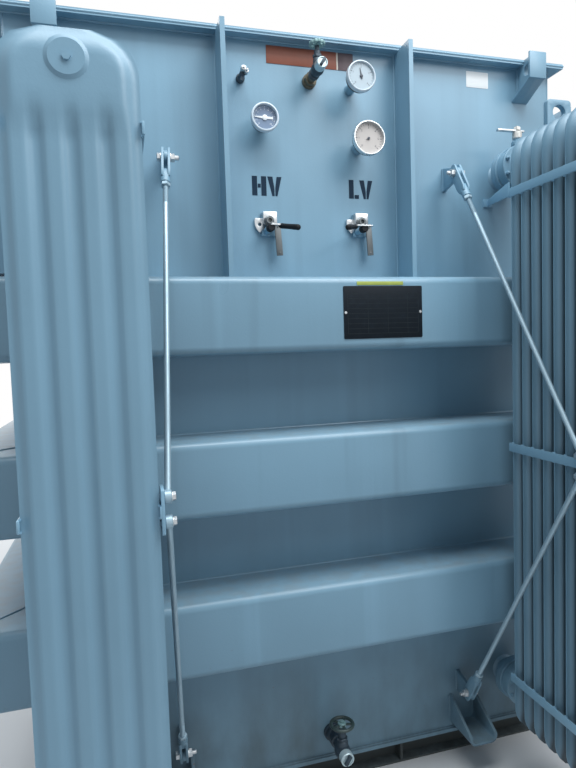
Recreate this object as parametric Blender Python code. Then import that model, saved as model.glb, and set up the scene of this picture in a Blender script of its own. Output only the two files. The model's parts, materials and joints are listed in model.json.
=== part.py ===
"""Oil-filled substation transformer with a box-stiffened tank and detachable plate radiators.

Metres, +Z up, origin on the ground under the middle of the tank. The instrument side faces -Y.
Whatever stands on a long wall is drawn in wall coordinates: x along the wall, out away from
its outer face, z up. put_on_wall turns them into the frame of the part, mirrored as needed.
"""

import math

import bmesh
import bpy
from mathutils import Matrix, Vector

# Clearances
SEAT = 0.0003
WELD = 0.002
OVERRUN = 0.02
PIVOT_GAP = 0.0006

# Tank shell
TANK_LENGTH = 1.97
TANK_WIDTH = 1.24
WALL = 0.008
FLOOR = 0.014
FLOOR_OVERHANG = 0.012
WALL_HEIGHT = 2.585
RIM = 0.009
RIM_OVERHANG = 0.040
RIM_INSIDE = 0.050
COVER = 0.008

# Base frame of rolled channels
RAIL_HEIGHT = 0.100
RAIL_FLANGE = 0.050
RAIL_WEB = 0.007
RAIL_INSET = 0.020
RAIL_STIFFENER_SHARE = 0.312
RAIL_STIFFENER = 0.010
CROSS_INSET = 0.425

# Box stiffener belts, pressed from plate
BELT_HEIGHT = 0.245
BELT_DEPTH = 0.200
BELT_BEND = 0.026
UPPER_BELT_DROP = 0.8196
LOWER_BELT_RISE = 0.7404

# Flat-bar posts above the upper belt
POST_SHARE = 0.333
POST = 0.016
POST_DEPTH = 0.120

# Plate radiators
PANELS = 8
PANEL_PITCH = 0.050
FIRST_PANEL_OUT = 0.274
PANEL_WIDTH = 0.300
PANEL_INSET = 0.222
PANEL_THICKNESS = 0.010
PANEL_CORNER = 0.095
PANEL_TOP_DROP = 0.3446
PANEL_BOTTOM_RISE = 0.1314
FLUTES = 4
FLUTE_PITCH = 0.066
FLUTE_WIDTH = 0.052
FLUTE_RISE = 0.005
FLUTE_SLOPE = 0.009
FLUTE_END = 0.175
HEADER_DROP = 0.070
HEADER_RADIUS = 0.042
HEADER_END = 0.012
STUB_LENGTH = 0.060
FLANGE_RADIUS = 0.082
FLANGE = 0.015
VALVE_RADIUS = 0.060
VALVE_LENGTH = 0.034
STEM_RADIUS = 0.014
STEM_HEIGHT = 0.155
LEVER_RISE = 0.134
LEVER_LENGTH = 0.085
LEVER_WIDTH = 0.014
LEVER = 0.006

# Straps across the panels' edges
STRAP_HEIGHT = 0.029
STRAP = 0.006
STRAP_REACH = 0.016
TOP_STRAP_DROP = 0.204
MIDDLE_STRAP_SHARE = 0.4903
BOTTOM_STRAP_RISE = 0.200
STAY_WALL_SHIFT = 0.097
STAY_RISE = 0.040
STAY_HEIGHT = 0.026

# Lifting eyes of the radiators
EYE_SHIFT = 0.014
EYE_WIDTH = 0.094
EYE = 0.020
EYE_CORNER = 0.012
EYE_RISE = 0.101
EYE_HOLE = 0.050
EYE_HOLE_DROP = 0.042

# Brace rods between the wall and the outer end of the middle straps
ROD_RADIUS = 0.008
ROD_END_SPREAD = 0.030
ROD_EYE_RADIUS = 0.017
ROD_EYE = 0.018
ROD_PLATE_HEIGHT = 0.110
ROD_PLATE_LENGTH = 0.060
ROD_PLATE = 0.008
PIN_OUT = 0.090
UPPER_PIN_SHIFT = 0.093
UPPER_PIN_DROP = 0.4366
LOWER_PIN_SHIFT = 0.066
LOWER_PIN_RISE = 0.1884
LUG = 0.012
LUG_HALF = 0.043
FORK_LENGTH = 0.110
FORK_WIDTH = 0.046
FORK_CHEEK = 0.008
BOLT_RADIUS = 0.008
BOLT_HEAD_RADIUS = 0.014
BOLT_HEAD = 0.010
BOLT_TAIL = 0.030

# Jacking pads
PAD_INSET = 0.418
PAD_WIDTH = 0.116
PAD_DEPTH = 0.150
PAD_LIFT = 0.0114
PAD_PLATE = 0.016
PAD_GUSSET = 0.010
PAD_RISE = 0.125
PAD_NOSE = 0.044

# Lifting lugs under the rim
LUG_INSET = 0.130
LUG_WEB = 0.020
LUG_DEPTH = 0.110
LUG_FLANGE = 0.010
LUG_FLANGE_WIDTH = 0.072
LUG_FLANGE_HEIGHT = 0.095
LUG_SLOPE = 0.052
LUG_HOLE = 0.042
LUG_HOLE_OUT = 0.062
LUG_HOLE_DROP = 0.045
LUG_RIM_GAP = 0.004

# Gauges: x, drop from the wall's top, dial radius, reach from the wall
GAUGES = {
    "pressure_gauge": (-0.187, 0.2816, 0.0475, 0.080),
    "level_gauge": (0.144, 0.1376, 0.0515, 0.120),
    "temperature_gauge": (0.168, 0.3406, 0.0580, 0.120),
}
GAUGE_DEPTH = 0.036
GAUGE_RIM = 0.006
GAUGE_RECESS = 0.004
GAUGE_STEM_SHARE = 0.34

# Switches for the windings, turned by hand with the transformer off.
# Each has the x of its shaft, its drop from the wall's top, the side its grip points to, how
# far its lever runs on past the shaft and how far aside the grip's end stands.
SWITCHES = {"hv": (-0.178, 0.6416, 1, 0.004, 0.080), "lv": (0.161, 0.6376, -1, 0.031, 0.093)}
BASE_LEFT = 0.018
BASE_RIGHT = 0.035
BASE_BELOW = 0.018
BASE_ABOVE = 0.064
BASE_PLATE = 0.008
BRACKET_RISE = 0.020
BRACKET_REACH = 0.030
SHAFT_BOSS_RADIUS = 0.011
SHAFT_BOSS_REACH = 0.052
GLAND_X = 0.003
GLAND_RISE = 0.030
GLAND_RADIUS = 0.013
GLAND_RING_RADIUS = 0.016
GLAND_RING = 0.006
GLAND_REACH = 0.050
GLAND_HOLE_RADIUS = 0.006
GLAND_HOLE_DEPTH = 0.010
EAR_RADIUS = 0.046
EAR_DEGREES = (163, 232)
EAR_OUT = 0.005
EAR = 0.007
EAR_HOLE_RADIUS = 0.006
EAR_HOLE_PLACE = 0.028
TONGUE_WIDTH = 0.024
TONGUE = 0.006
TONGUE_TOP_X = 0.031
TONGUE_TOP_RISE = 0.032
TONGUE_FOOT_X = 0.0385
TONGUE_FOOT_DROP = 0.090
HUB_RADIUS = 0.014
HUB = 0.026
LEVER_STRIP_OUT = 0.058
LEVER_STRIP_WIDTH = 0.024
LEVER_STRIP = 0.004
LEVER_STRIP_RISE = 0.006
LEVER_STRIP_LENGTH = 0.040
GRIP_START_X = 0.031
GRIP_RADIUS = 0.009
GRIP_END_RADIUS = 0.0115
GRIP_ROUND = 0.004
GRIP_REACH = 0.142
GRIP_FALL = 0.019

# Fill valve at the top
FILL_X = -0.007
FILL_DROP = 0.1226
FILL_BODY_RADIUS = 0.023
FILL_BODY_REACH = 0.150
FILL_STEM_OUT = 0.100
FILL_STEM_RADIUS = 0.011
FILL_WHEEL_RISE = 0.081
FILL_WHEEL_RADIUS = 0.028

# Drain valve at the bottom
DRAIN_X = 0.010
DRAIN_RISE = 0.0904
DRAIN_BODY_RADIUS = 0.030
DRAIN_BODY_REACH = 0.175
DRAIN_STEM_OUT = 0.115
DRAIN_STEM_RADIUS = 0.013
DRAIN_WHEEL_RISE = 0.099
DRAIN_WHEEL_RADIUS = 0.045

# Valve trim
VALVE_COLLAR = 0.012
VALVE_COLLAR_EXTRA = 0.004
VALVE_NECK_SHARE = 0.75
VALVE_PLUG_SHARE = 0.8
STEM_TIP_SHARE = 0.667
WHEEL_RIM_RADIUS = 0.005
WHEEL_HUB_RADIUS = 0.009
WHEEL_HUB = 0.012
WHEEL_SPOKES = 4
WHEEL_SPOKE_RADIUS = 0.0035

# Bleeder valve
BLEEDER_POST_GAP = 0.068005
BLEEDER_DROP = 0.1346
BLEEDER_REACH = 0.080
BLEEDER_RADIUS = 0.011
BLEEDER_NUT_RADIUS = 0.016

# Throats of the windings' terminals on the end walls
THROAT_REACH = 0.250
THROAT_WIDTH = 0.860
THROAT_DROP = 0.0996
THROAT_HEIGHT = 0.665
THROAT_FLANGE = 0.014
THROAT_FLANGE_WIDTH = 0.045
THROAT_COVER = 0.008
THROAT_COVER_LIP = 0.011

# On the cover
RELIEF_INSET = 0.505
RELIEF_FLANGE_RADIUS = 0.120
RELIEF_RADIUS = 0.095
RELIEF_HEIGHT = 0.130
RELIEF_FLANGE = 0.016
RELIEF_DOME = 0.030
RELIEF_PIN_RADIUS = 0.010
RELIEF_PIN = 0.035
HANDHOLE_INSET = 0.565
HANDHOLE_LENGTH = 0.480
HANDHOLE_WIDTH = 0.380
HANDHOLE_CORNER = 0.050
HANDHOLE_RAISE = 0.022
HANDHOLE_PLATE = 0.010
HANDHOLE_LIP = 0.025

# Facets of round shapes
PIPE_SIDES = 12
HEX_SIDES = 6
HEADER_SIDES = 10
ROD_SIDES = 8
DISC_SIDES = 16
DIAL_SIDES = 20
WHEEL_RIM_SIDES = 5
SPOKE_SIDES = 4
BEND_STEPS = 4
CORNER_STEPS = 2
SMOOTH_DEGREES = 35

# Levels and faces that follow from the sizes above
FLOOR_BOTTOM = RAIL_HEIGHT + SEAT
FLOOR_TOP = FLOOR_BOTTOM + FLOOR
WALL_BOTTOM = FLOOR_TOP + SEAT
WALL_TOP = WALL_BOTTOM + WALL_HEIGHT
RIM_BOTTOM = WALL_TOP + SEAT
RIM_TOP = RIM_BOTTOM + RIM
COVER_BOTTOM = RIM_TOP + SEAT
COVER_TOP = COVER_BOTTOM + COVER
HALF_LENGTH = TANK_LENGTH / 2
HALF_WIDTH = TANK_WIDTH / 2
RAIL_STIFFENER_X = HALF_LENGTH * RAIL_STIFFENER_SHARE
CROSS_X = HALF_LENGTH - CROSS_INSET
POST_X = HALF_LENGTH * POST_SHARE
BLEEDER_X = BLEEDER_POST_GAP + POST / 2 - POST_X
PAD_X = HALF_LENGTH - PAD_INSET
LUG_X = HALF_LENGTH - LUG_INSET
RELIEF_X = HALF_LENGTH - RELIEF_INSET
HANDHOLE_X = HANDHOLE_INSET - HALF_LENGTH
UPPER_BELT_TOP = WALL_TOP - UPPER_BELT_DROP
LOWER_BELT_TOP = WALL_BOTTOM + LOWER_BELT_RISE
BELT_TOPS = {
    "upper_belt": UPPER_BELT_TOP,
    "middle_belt": (UPPER_BELT_TOP + LOWER_BELT_TOP) / 2,
    "lower_belt": LOWER_BELT_TOP,
}
PANEL_TOP = WALL_TOP - PANEL_TOP_DROP
PANEL_BOTTOM = WALL_BOTTOM + PANEL_BOTTOM_RISE
UPPER_HEADER = PANEL_TOP - HEADER_DROP
LOWER_HEADER = PANEL_BOTTOM + HEADER_DROP
TOP_STRAP = PANEL_TOP - TOP_STRAP_DROP
MIDDLE_STRAP = PANEL_BOTTOM + (PANEL_TOP - PANEL_BOTTOM) * MIDDLE_STRAP_SHARE
BOTTOM_STRAP = PANEL_BOTTOM + BOTTOM_STRAP_RISE
EYE_TOP = PANEL_TOP + EYE_RISE
PAD_BOTTOM = WALL_BOTTOM + PAD_LIFT
PANEL_CENTRE_X = HALF_LENGTH - PANEL_INSET
PANEL_INNER_X = PANEL_CENTRE_X - PANEL_WIDTH / 2
STAY_WALL_X = PANEL_INNER_X + STAY_WALL_SHIFT
UPPER_PIN_X = PANEL_INNER_X - UPPER_PIN_SHIFT
LOWER_PIN_X = PANEL_INNER_X - LOWER_PIN_SHIFT
LAST_PANEL_OUT = FIRST_PANEL_OUT + PANEL_PITCH * (PANELS - 1)
STRAP_END_OUT = LAST_PANEL_OUT + STRAP_REACH
ROD_PLATE_OUT = STRAP_END_OUT - ROD_PLATE_LENGTH / 2
ROD_PLATE_X = PANEL_INNER_X - STRAP - ROD_PLATE + WELD
ROD_END_X = ROD_PLATE_X - SEAT - ROD_EYE / 2
VALVE_START = STUB_LENGTH + 2 * FLANGE


# Shapes, each one closed body as a bmesh

def slab(x_span, y_span, z_span):
    """A block between three (start, end) pairs."""
    near, far = y_span
    outline = [(x_span[0], near), (x_span[1], near), (x_span[1], far), (x_span[0], far)]
    return prism(outline, 2, z_span)


def prism(outline, axis, span):
    """An outline drawn across one axis and extruded along it, between the two ends of span."""
    shape = bmesh.new()
    others = [i for i in range(3) if i != axis]
    ring = []
    for first, second in outline:
        place = [0, 0, 0]
        place[others[0]] = first
        place[others[1]] = second
        place[axis] = span[0]
        ring.append(shape.verts.new(place))
    face = shape.faces.new(ring)
    grown = bmesh.ops.extrude_face_region(shape, geom=[face])
    step = [0, 0, 0]
    step[axis] = span[1] - span[0]
    moved = [item for item in grown["geom"] if isinstance(item, bmesh.types.BMVert)]
    bmesh.ops.translate(shape, verts=moved, vec=step)
    bmesh.ops.recalc_face_normals(shape, faces=shape.faces)
    return shape


def turned(profile, sides, axis, centre):
    """A solid of revolution: profile holds (radius, along) pairs from one end to the other."""
    shape = bmesh.new()
    rings = []
    for radius, along in profile:
        ring = []
        for step in range(sides):
            angle = 2 * math.pi * (step + 0.5) / sides
            ring.append(shape.verts.new((radius * math.cos(angle), radius * math.sin(angle), along)))
        rings.append(ring)
    for low, high in zip(rings, rings[1:]):
        for step in range(sides):
            after = (step + 1) % sides
            shape.faces.new((low[step], low[after], high[after], high[step]))
    shape.faces.new(list(reversed(rings[0])))
    shape.faces.new(rings[-1])
    turn = Vector((0, 0, 1)).rotation_difference(Vector(axis)).to_matrix().to_4x4()
    shape.transform(Matrix.Translation(centre) @ turn)
    bmesh.ops.recalc_face_normals(shape, faces=shape.faces)
    return shape


def rod(start, end, radius, sides):
    """A round bar between two points."""
    run = Vector(end) - Vector(start)
    return turned([(radius, 0), (radius, run.length)], sides, run.normalized(), start)


def bar(start, end, width, thickness, across):
    """A flat bar between two points, its width as near to the direction across as can be."""
    run = Vector(end) - Vector(start)
    along = run.normalized()
    side = (Vector(across) - along * along.dot(Vector(across))).normalized()
    shape = slab((0, run.length), (-width / 2, width / 2), (-thickness / 2, thickness / 2))
    turn = Matrix((along, side, along.cross(side))).transposed().to_4x4()
    shape.transform(Matrix.Translation(start) @ turn)
    return shape


def arc(centre, radius, start, end, steps):
    """Points of an arc, with its angles in degrees."""
    angles = [math.radians(start + (end - start) * i / steps) for i in range(steps + 1)]
    return [(centre[0] + radius * math.cos(a), centre[1] + radius * math.sin(a)) for a in angles]


def rounded_rectangle(x_span, z_span, radius, steps):
    """The outline of a rectangle with round corners."""
    left, right = x_span[0] + radius, x_span[1] - radius
    bottom, top = z_span[0] + radius, z_span[1] - radius
    return (
        arc((right, top), radius, 0, 90, steps)
        + arc((left, top), radius, 90, 180, steps)
        + arc((left, bottom), radius, 180, 270, steps)
        + arc((right, bottom), radius, 270, 360, steps)
    )


def belt_ring(profile, half_length, half_width):
    """A mitred ring round the tank: profile holds (out, z) points, in order."""
    shape = bmesh.new()
    rings = []
    for out, z in profile:
        x = half_length + out
        y = half_width + out
        rings.append([shape.verts.new(p) for p in ((x, -y, z), (x, y, z), (-x, y, z), (-x, -y, z))])
    for here, after in zip(rings, rings[1:] + rings[:1]):
        for corner in range(4):
            other = (corner + 1) % 4
            shape.faces.new((here[corner], here[other], after[other], after[corner]))
    bmesh.ops.recalc_face_normals(shape, faces=shape.faces)
    return shape


# Objects

def material(name, colour, roughness, metallic):
    made = bpy.data.materials.new(name)
    made.use_nodes = True
    shader = made.node_tree.nodes["Principled BSDF"]
    shader.inputs["Base Color"].default_value = (*colour, 1)
    shader.inputs["Roughness"].default_value = roughness
    shader.inputs["Metallic"].default_value = metallic
    made.diffuse_color = (*colour, 1)
    return made


def put_on_wall(shape, side, face):
    """Wall coordinates to the frame of the part: side mirrors x, face -1 is the front wall."""
    for vertex in shape.verts:
        vertex.co.x *= side
        vertex.co.y = face * (HALF_WIDTH + vertex.co.y)
    if side * face < 0:
        bmesh.ops.reverse_faces(shape, faces=shape.faces)
    return shape


def add_object(name, shape, pivot):
    mesh = bpy.data.meshes.new(name)
    shape.transform(Matrix.Translation(-Vector(pivot)))
    shape.to_mesh(mesh)
    shape.free()
    made = bpy.data.objects.new(name, mesh)
    made.location = pivot
    bpy.context.scene.collection.objects.link(made)
    return made


def combine(body, shapes, operation):
    """Adds shapes to a body, or cuts them from it, by one Boolean with a hidden group of tools."""
    if not shapes:
        return
    group = bpy.data.collections.new(body.name + "_" + operation.lower())
    bpy.context.scene.collection.children.link(group)
    for index, shape in enumerate(shapes):
        tool = add_object(f"{body.name}_{operation.lower()}_{index}", shape, (0, 0, 0))
        bpy.context.scene.collection.objects.unlink(tool)
        group.objects.link(tool)
        tool.hide_render = True
        tool.display_type = "WIRE"
    change = body.modifiers.new(operation, "BOOLEAN")
    change.operation = operation
    change.operand_type = "COLLECTION"
    change.collection = group
    change.solver = "EXACT"


def node(name, shapes, finish, cuts=(), pivot=(0, 0, 0), smooth=False):
    """One sub-part: its shapes fused, its cuts taken out, its origin at the pivot."""
    body = add_object(name, shapes[0], pivot)
    body.data.materials.append(finish)
    if smooth:
        body.data.shade_smooth()
        body.data.set_sharp_from_angle(angle=math.radians(SMOOTH_DEGREES))
    combine(body, shapes[1:], "UNION")
    combine(body, cuts, "DIFFERENCE")
    return body


def wall_node(name, shapes, finish, side=1, face=-1, cuts=(), pivot=(0, 0, 0), smooth=False):
    """A sub-part drawn in wall coordinates."""
    placed = [put_on_wall(shape, side, face) for shape in shapes]
    placed_cuts = [put_on_wall(shape, side, face) for shape in cuts]
    return node(name, placed, finish, placed_cuts, pivot, smooth)


CORNERS = {
    "front_left": (-1, -1),
    "front_right": (1, -1),
    "rear_left": (-1, 1),
    "rear_right": (1, 1),
}


# Tank and base

def build_tank(paint):
    """Floor, four walls, rim flange and cover, each a plate of its own."""
    floor_x = HALF_LENGTH + FLOOR_OVERHANG
    floor_y = HALF_WIDTH + FLOOR_OVERHANG
    floor = slab((-floor_x, floor_x), (-floor_y, floor_y), (FLOOR_BOTTOM, FLOOR_TOP))
    node("floor_plate", [floor], paint)
    height = (WALL_BOTTOM, WALL_TOP)
    long_span = (-HALF_LENGTH, HALF_LENGTH)
    node("front_wall", [slab(long_span, (-HALF_WIDTH, WALL - HALF_WIDTH), height)], paint)
    node("rear_wall", [slab(long_span, (HALF_WIDTH - WALL, HALF_WIDTH), height)], paint)
    end_half = HALF_WIDTH - WALL - SEAT
    end_span = (-end_half, end_half)
    node("left_wall", [slab((-HALF_LENGTH, WALL - HALF_LENGTH), end_span, height)], paint)
    node("right_wall", [slab((HALF_LENGTH - WALL, HALF_LENGTH), end_span, height)], paint)
    inner = -WALL - RIM_INSIDE
    rim = [(inner, RIM_BOTTOM), (RIM_OVERHANG, RIM_BOTTOM), (RIM_OVERHANG, RIM_TOP), (inner, RIM_TOP)]
    node("rim_flange", [belt_ring(rim, HALF_LENGTH, HALF_WIDTH)], paint)
    cover_x = HALF_LENGTH + RIM_OVERHANG
    cover_y = HALF_WIDTH + RIM_OVERHANG
    cover = slab((-cover_x, cover_x), (-cover_y, cover_y), (COVER_BOTTOM, COVER_TOP))
    node("cover_plate", [cover], paint)


def channel_outline(back, reach):
    """A channel's section as (y, z) points: its web at back, its flanges towards back + reach."""
    turn = math.copysign(1, reach)
    web = back + turn * RAIL_WEB
    tip = back + reach
    flange = RAIL_WEB
    return [
        (back, 0),
        (tip, 0),
        (tip, flange),
        (web, flange),
        (web, RAIL_HEIGHT - flange),
        (tip, RAIL_HEIGHT - flange),
        (tip, RAIL_HEIGHT),
        (back, RAIL_HEIGHT),
    ]


def build_base(paint):
    """Two long channels with stiffener plates, and two cross channels between them."""
    rail_back = HALF_WIDTH - RAIL_INSET - RAIL_FLANGE
    for name, face in (("base_rail_front", -1), ("base_rail_rear", 1)):
        section = channel_outline(face * rail_back, face * RAIL_FLANGE)
        shapes = [prism(section, 0, (-HALF_LENGTH, HALF_LENGTH))]
        for side in (-1, 1):
            middle = side * RAIL_STIFFENER_X
            across = (middle - RAIL_STIFFENER / 2, middle + RAIL_STIFFENER / 2)
            near = rail_back + RAIL_WEB - WELD
            far = rail_back + RAIL_FLANGE - WELD
            inside = (face * near, face * far) if face > 0 else (face * far, face * near)
            upright = (RAIL_WEB - WELD, RAIL_HEIGHT - RAIL_WEB + WELD)
            shapes.append(slab(across, inside, upright))
        node(name, shapes, paint)
    for name, side in (("base_crossmember_left", -1), ("base_crossmember_right", 1)):
        section = channel_outline(side * CROSS_X, side * RAIL_FLANGE)
        half = rail_back - SEAT
        node(name, [prism(section, 1, (-half, half))], paint)


def build_belts(paint):
    """Box stiffeners with rounded bends, mitred at the tank's corners."""
    for name, top in BELT_TOPS.items():
        bottom = top - BELT_HEIGHT
        nose = BELT_DEPTH - BELT_BEND
        profile = [(SEAT, bottom)]
        profile += arc((nose, bottom + BELT_BEND), BELT_BEND, -90, 0, BEND_STEPS)
        profile += arc((nose, top - BELT_BEND), BELT_BEND, 0, 90, BEND_STEPS)
        profile += [(SEAT, top)]
        node(name, [belt_ring(profile, HALF_LENGTH, HALF_WIDTH)], paint, smooth=True)


def build_posts(paint):
    for place, (side, face) in CORNERS.items():
        span = (POST_X - POST / 2, POST_X + POST / 2)
        upright = (BELT_TOPS["upper_belt"] + SEAT, RIM_BOTTOM - SEAT)
        shape = slab(span, (SEAT, POST_DEPTH), upright)
        wall_node("post_" + place, [shape], paint, side, face)


# Radiators

def radiator_panel(out, inset):
    """One pressed panel: a thin plate with round corners, its edges set in by inset."""
    across = (PANEL_INNER_X + inset, PANEL_INNER_X + PANEL_WIDTH - inset)
    outline = rounded_rectangle(across, (PANEL_BOTTOM, PANEL_TOP), PANEL_CORNER, CORNER_STEPS)
    return prism(outline, 1, (out - PANEL_THICKNESS / 2, out + PANEL_THICKNESS / 2))


def flute(number, out, turn):
    """An oil channel raised on a panel's face, with sloping sides and ends."""
    middle = PANEL_CENTRE_X + FLUTE_PITCH * (number - (FLUTES - 1) / 2)
    face = out + turn * PANEL_THICKNESS / 2
    crest = face + turn * FLUTE_RISE
    half = FLUTE_WIDTH / 2
    low, high = PANEL_BOTTOM + FLUTE_END, PANEL_TOP - FLUTE_END
    shape = slab((middle - half, middle + half), (face - turn * WELD, crest), (low, high))
    centre_z = (low + high) / 2
    for vertex in shape.verts:
        if abs(vertex.co.y - crest) < WELD:
            vertex.co.x -= math.copysign(FLUTE_SLOPE, vertex.co.x - middle)
            vertex.co.z -= math.copysign(FLUTE_SLOPE, vertex.co.z - centre_z)
    return shape


def build_panels():
    """The panels of one radiator: the straps hold the first and the last and clear the rest."""
    shapes = []
    for number in range(PANELS):
        held = number in (0, PANELS - 1)
        inset = 0 if held else WELD + SEAT
        shapes.append(radiator_panel(FIRST_PANEL_OUT + PANEL_PITCH * number, inset))
    for number in range(FLUTES):
        shapes.append(flute(number, FIRST_PANEL_OUT, -1))
        shapes.append(flute(number, LAST_PANEL_OUT, 1))
    return shapes


def header(level):
    """Pipe stub on the wall, its flanges, butterfly valve and header pipe in one turned body."""
    valve_end = VALVE_START + VALVE_LENGTH
    flange_end = valve_end + FLANGE
    profile = [
        (HEADER_RADIUS, SEAT),
        (HEADER_RADIUS, STUB_LENGTH),
        (FLANGE_RADIUS, STUB_LENGTH),
        (FLANGE_RADIUS, VALVE_START),
        (VALVE_RADIUS, VALVE_START),
        (VALVE_RADIUS, valve_end),
        (FLANGE_RADIUS, valve_end),
        (FLANGE_RADIUS, flange_end),
        (HEADER_RADIUS, flange_end),
        (HEADER_RADIUS, LAST_PANEL_OUT + HEADER_END),
    ]
    return turned(profile, HEADER_SIDES, (0, 1, 0), (PANEL_CENTRE_X, 0, level))


def valve_lever(level):
    """The valve's stem above its body, with the lever that turns it."""
    middle = VALVE_START + VALVE_LENGTH / 2
    foot = (PANEL_CENTRE_X, middle, level + HEADER_RADIUS)
    head = (PANEL_CENTRE_X, middle, level + STEM_HEIGHT)
    lever_z = level + LEVER_RISE
    lever = slab(
        (PANEL_CENTRE_X - LEVER_LENGTH, PANEL_CENTRE_X + 2 * LEVER_WIDTH),
        (middle - LEVER_WIDTH / 2, middle + LEVER_WIDTH / 2),
        (lever_z - LEVER / 2, lever_z + LEVER / 2),
    )
    return [rod(foot, head, STEM_RADIUS, ROD_SIDES), lever]


def strap(level, edge_x, turn):
    """A flat bar along the panels' edges, outside edge_x in the direction turn."""
    near = edge_x - turn * WELD
    far = edge_x + turn * STRAP
    across = (min(near, far), max(near, far))
    start = FIRST_PANEL_OUT - STRAP_REACH
    height = (level - STRAP_HEIGHT / 2, level + STRAP_HEIGHT / 2)
    return slab(across, (start, STRAP_END_OUT), height)


def rod_plate():
    """The plate on the middle strap's outer end that both brace rods are bolted to."""
    across = (ROD_PLATE_X, ROD_PLATE_X + ROD_PLATE)
    along = (STRAP_END_OUT - ROD_PLATE_LENGTH, STRAP_END_OUT + WELD)
    height = (MIDDLE_STRAP - ROD_PLATE_HEIGHT / 2, MIDDLE_STRAP + ROD_PLATE_HEIGHT / 2)
    return slab(across, along, height)


def wall_stay(level):
    """The slanting bar from the strap's inner end to the wall."""
    start = (PANEL_INNER_X - STRAP / 2, FIRST_PANEL_OUT - STRAP_REACH / 2, level)
    end = (STAY_WALL_X, SEAT + STRAP, level + STAY_RISE)
    return bar(start, end, STAY_HEIGHT, STRAP, (0, 0, 1))


def build_radiators(paint):
    outer_x = PANEL_INNER_X + PANEL_WIDTH
    for place, (side, face) in CORNERS.items():
        shapes = [header(UPPER_HEADER), header(LOWER_HEADER)]
        shapes += build_panels()
        shapes += valve_lever(UPPER_HEADER)
        for level in (TOP_STRAP, MIDDLE_STRAP, BOTTOM_STRAP):
            shapes.append(strap(level, PANEL_INNER_X, -1))
            shapes.append(strap(level, outer_x, 1))
        shapes.append(rod_plate())
        shapes.append(wall_stay(TOP_STRAP))
        wall_node("radiator_" + place, shapes, paint, side, face)


def build_radiator_eyes(paint):
    """Lifting plates that stand on the upper header between the first two panels."""
    middle = FIRST_PANEL_OUT + PANEL_PITCH / 2
    out_span = (middle - EYE / 2, middle + EYE / 2)
    eye_x = PANEL_CENTRE_X + EYE_SHIFT
    left = eye_x - EYE_WIDTH / 2
    right = eye_x + EYE_WIDTH / 2
    for place, (side, face) in CORNERS.items():
        foot = UPPER_HEADER + HEADER_RADIUS + SEAT
        shoulder = EYE_TOP - EYE_CORNER
        outline = arc((right - EYE_CORNER, shoulder), EYE_CORNER, 0, 90, CORNER_STEPS)
        outline += arc((left + EYE_CORNER, shoulder), EYE_CORNER, 90, 180, CORNER_STEPS)
        outline += [(left, foot), (right, foot)]
        hole_centre = (eye_x, middle - EYE / 2 - OVERRUN, EYE_TOP - EYE_HOLE_DROP)
        hole_end = (eye_x, middle + EYE / 2 + OVERRUN, EYE_TOP - EYE_HOLE_DROP)
        hole = rod(hole_centre, hole_end, EYE_HOLE / 2, PIPE_SIDES)
        name = "radiator_eye_" + place
        wall_node(name, [prism(outline, 1, out_span)], paint, side, face, cuts=[hole])


# Brace rods

def brace(pin_x, pin_z, end_z):
    """Wall lug, forked end with its bolt, and the rod to the eye on the strap's plate."""
    pin = Vector((pin_x, PIN_OUT, pin_z))
    end = Vector((ROD_END_X, ROD_PLATE_OUT, end_z))
    along = (end - pin).normalized()
    plate = (pin_x - LUG / 2, pin_x + LUG / 2)
    nose = arc((PIN_OUT, pin_z), LUG_HALF / 2, -90, 90, BEND_STEPS)
    lug = prism([(SEAT, pin_z - LUG_HALF)] + nose + [(SEAT, pin_z + LUG_HALF)], 0, plate)
    fork_half = LUG / 2 + FORK_CHEEK
    fork_start = pin - along * FORK_WIDTH / 2
    fork_end = pin + along * FORK_LENGTH
    fork = bar(fork_start, fork_end, FORK_WIDTH, 2 * fork_half, (0, 0, 1))
    bolt_end = pin - Vector((fork_half + BOLT_TAIL, 0, 0))
    bolt_head = pin + Vector((fork_half + BOLT_HEAD, 0, 0))
    bolt = rod(bolt_end, bolt_head, BOLT_RADIUS, ROD_SIDES)
    head_start = pin + Vector((fork_half - WELD, 0, 0))
    head = rod(head_start, bolt_head, BOLT_HEAD_RADIUS, HEX_SIDES)
    nut_start = pin - Vector((fork_half - WELD, 0, 0))
    nut_end = nut_start - Vector((BOLT_HEAD, 0, 0))
    nut = rod(nut_start, nut_end, BOLT_HEAD_RADIUS, HEX_SIDES)
    shaft = rod(pin + along * (FORK_LENGTH - OVERRUN), end, ROD_RADIUS, ROD_SIDES)
    eye_half = Vector((ROD_EYE / 2, 0, 0))
    eye = rod(end - eye_half, end + eye_half, ROD_EYE_RADIUS, PIPE_SIDES)
    return [lug, fork, bolt, head, nut, shaft, eye]


def build_braces(paint):
    for place, (side, face) in CORNERS.items():
        upper = brace(UPPER_PIN_X, WALL_TOP - UPPER_PIN_DROP, MIDDLE_STRAP + ROD_END_SPREAD)
        wall_node("brace_upper_" + place, upper, paint, side, face)
        lower = brace(LOWER_PIN_X, WALL_BOTTOM + LOWER_PIN_RISE, MIDDLE_STRAP - ROD_END_SPREAD)
        wall_node("brace_lower_" + place, lower, paint, side, face)


# Pads and lugs

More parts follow.
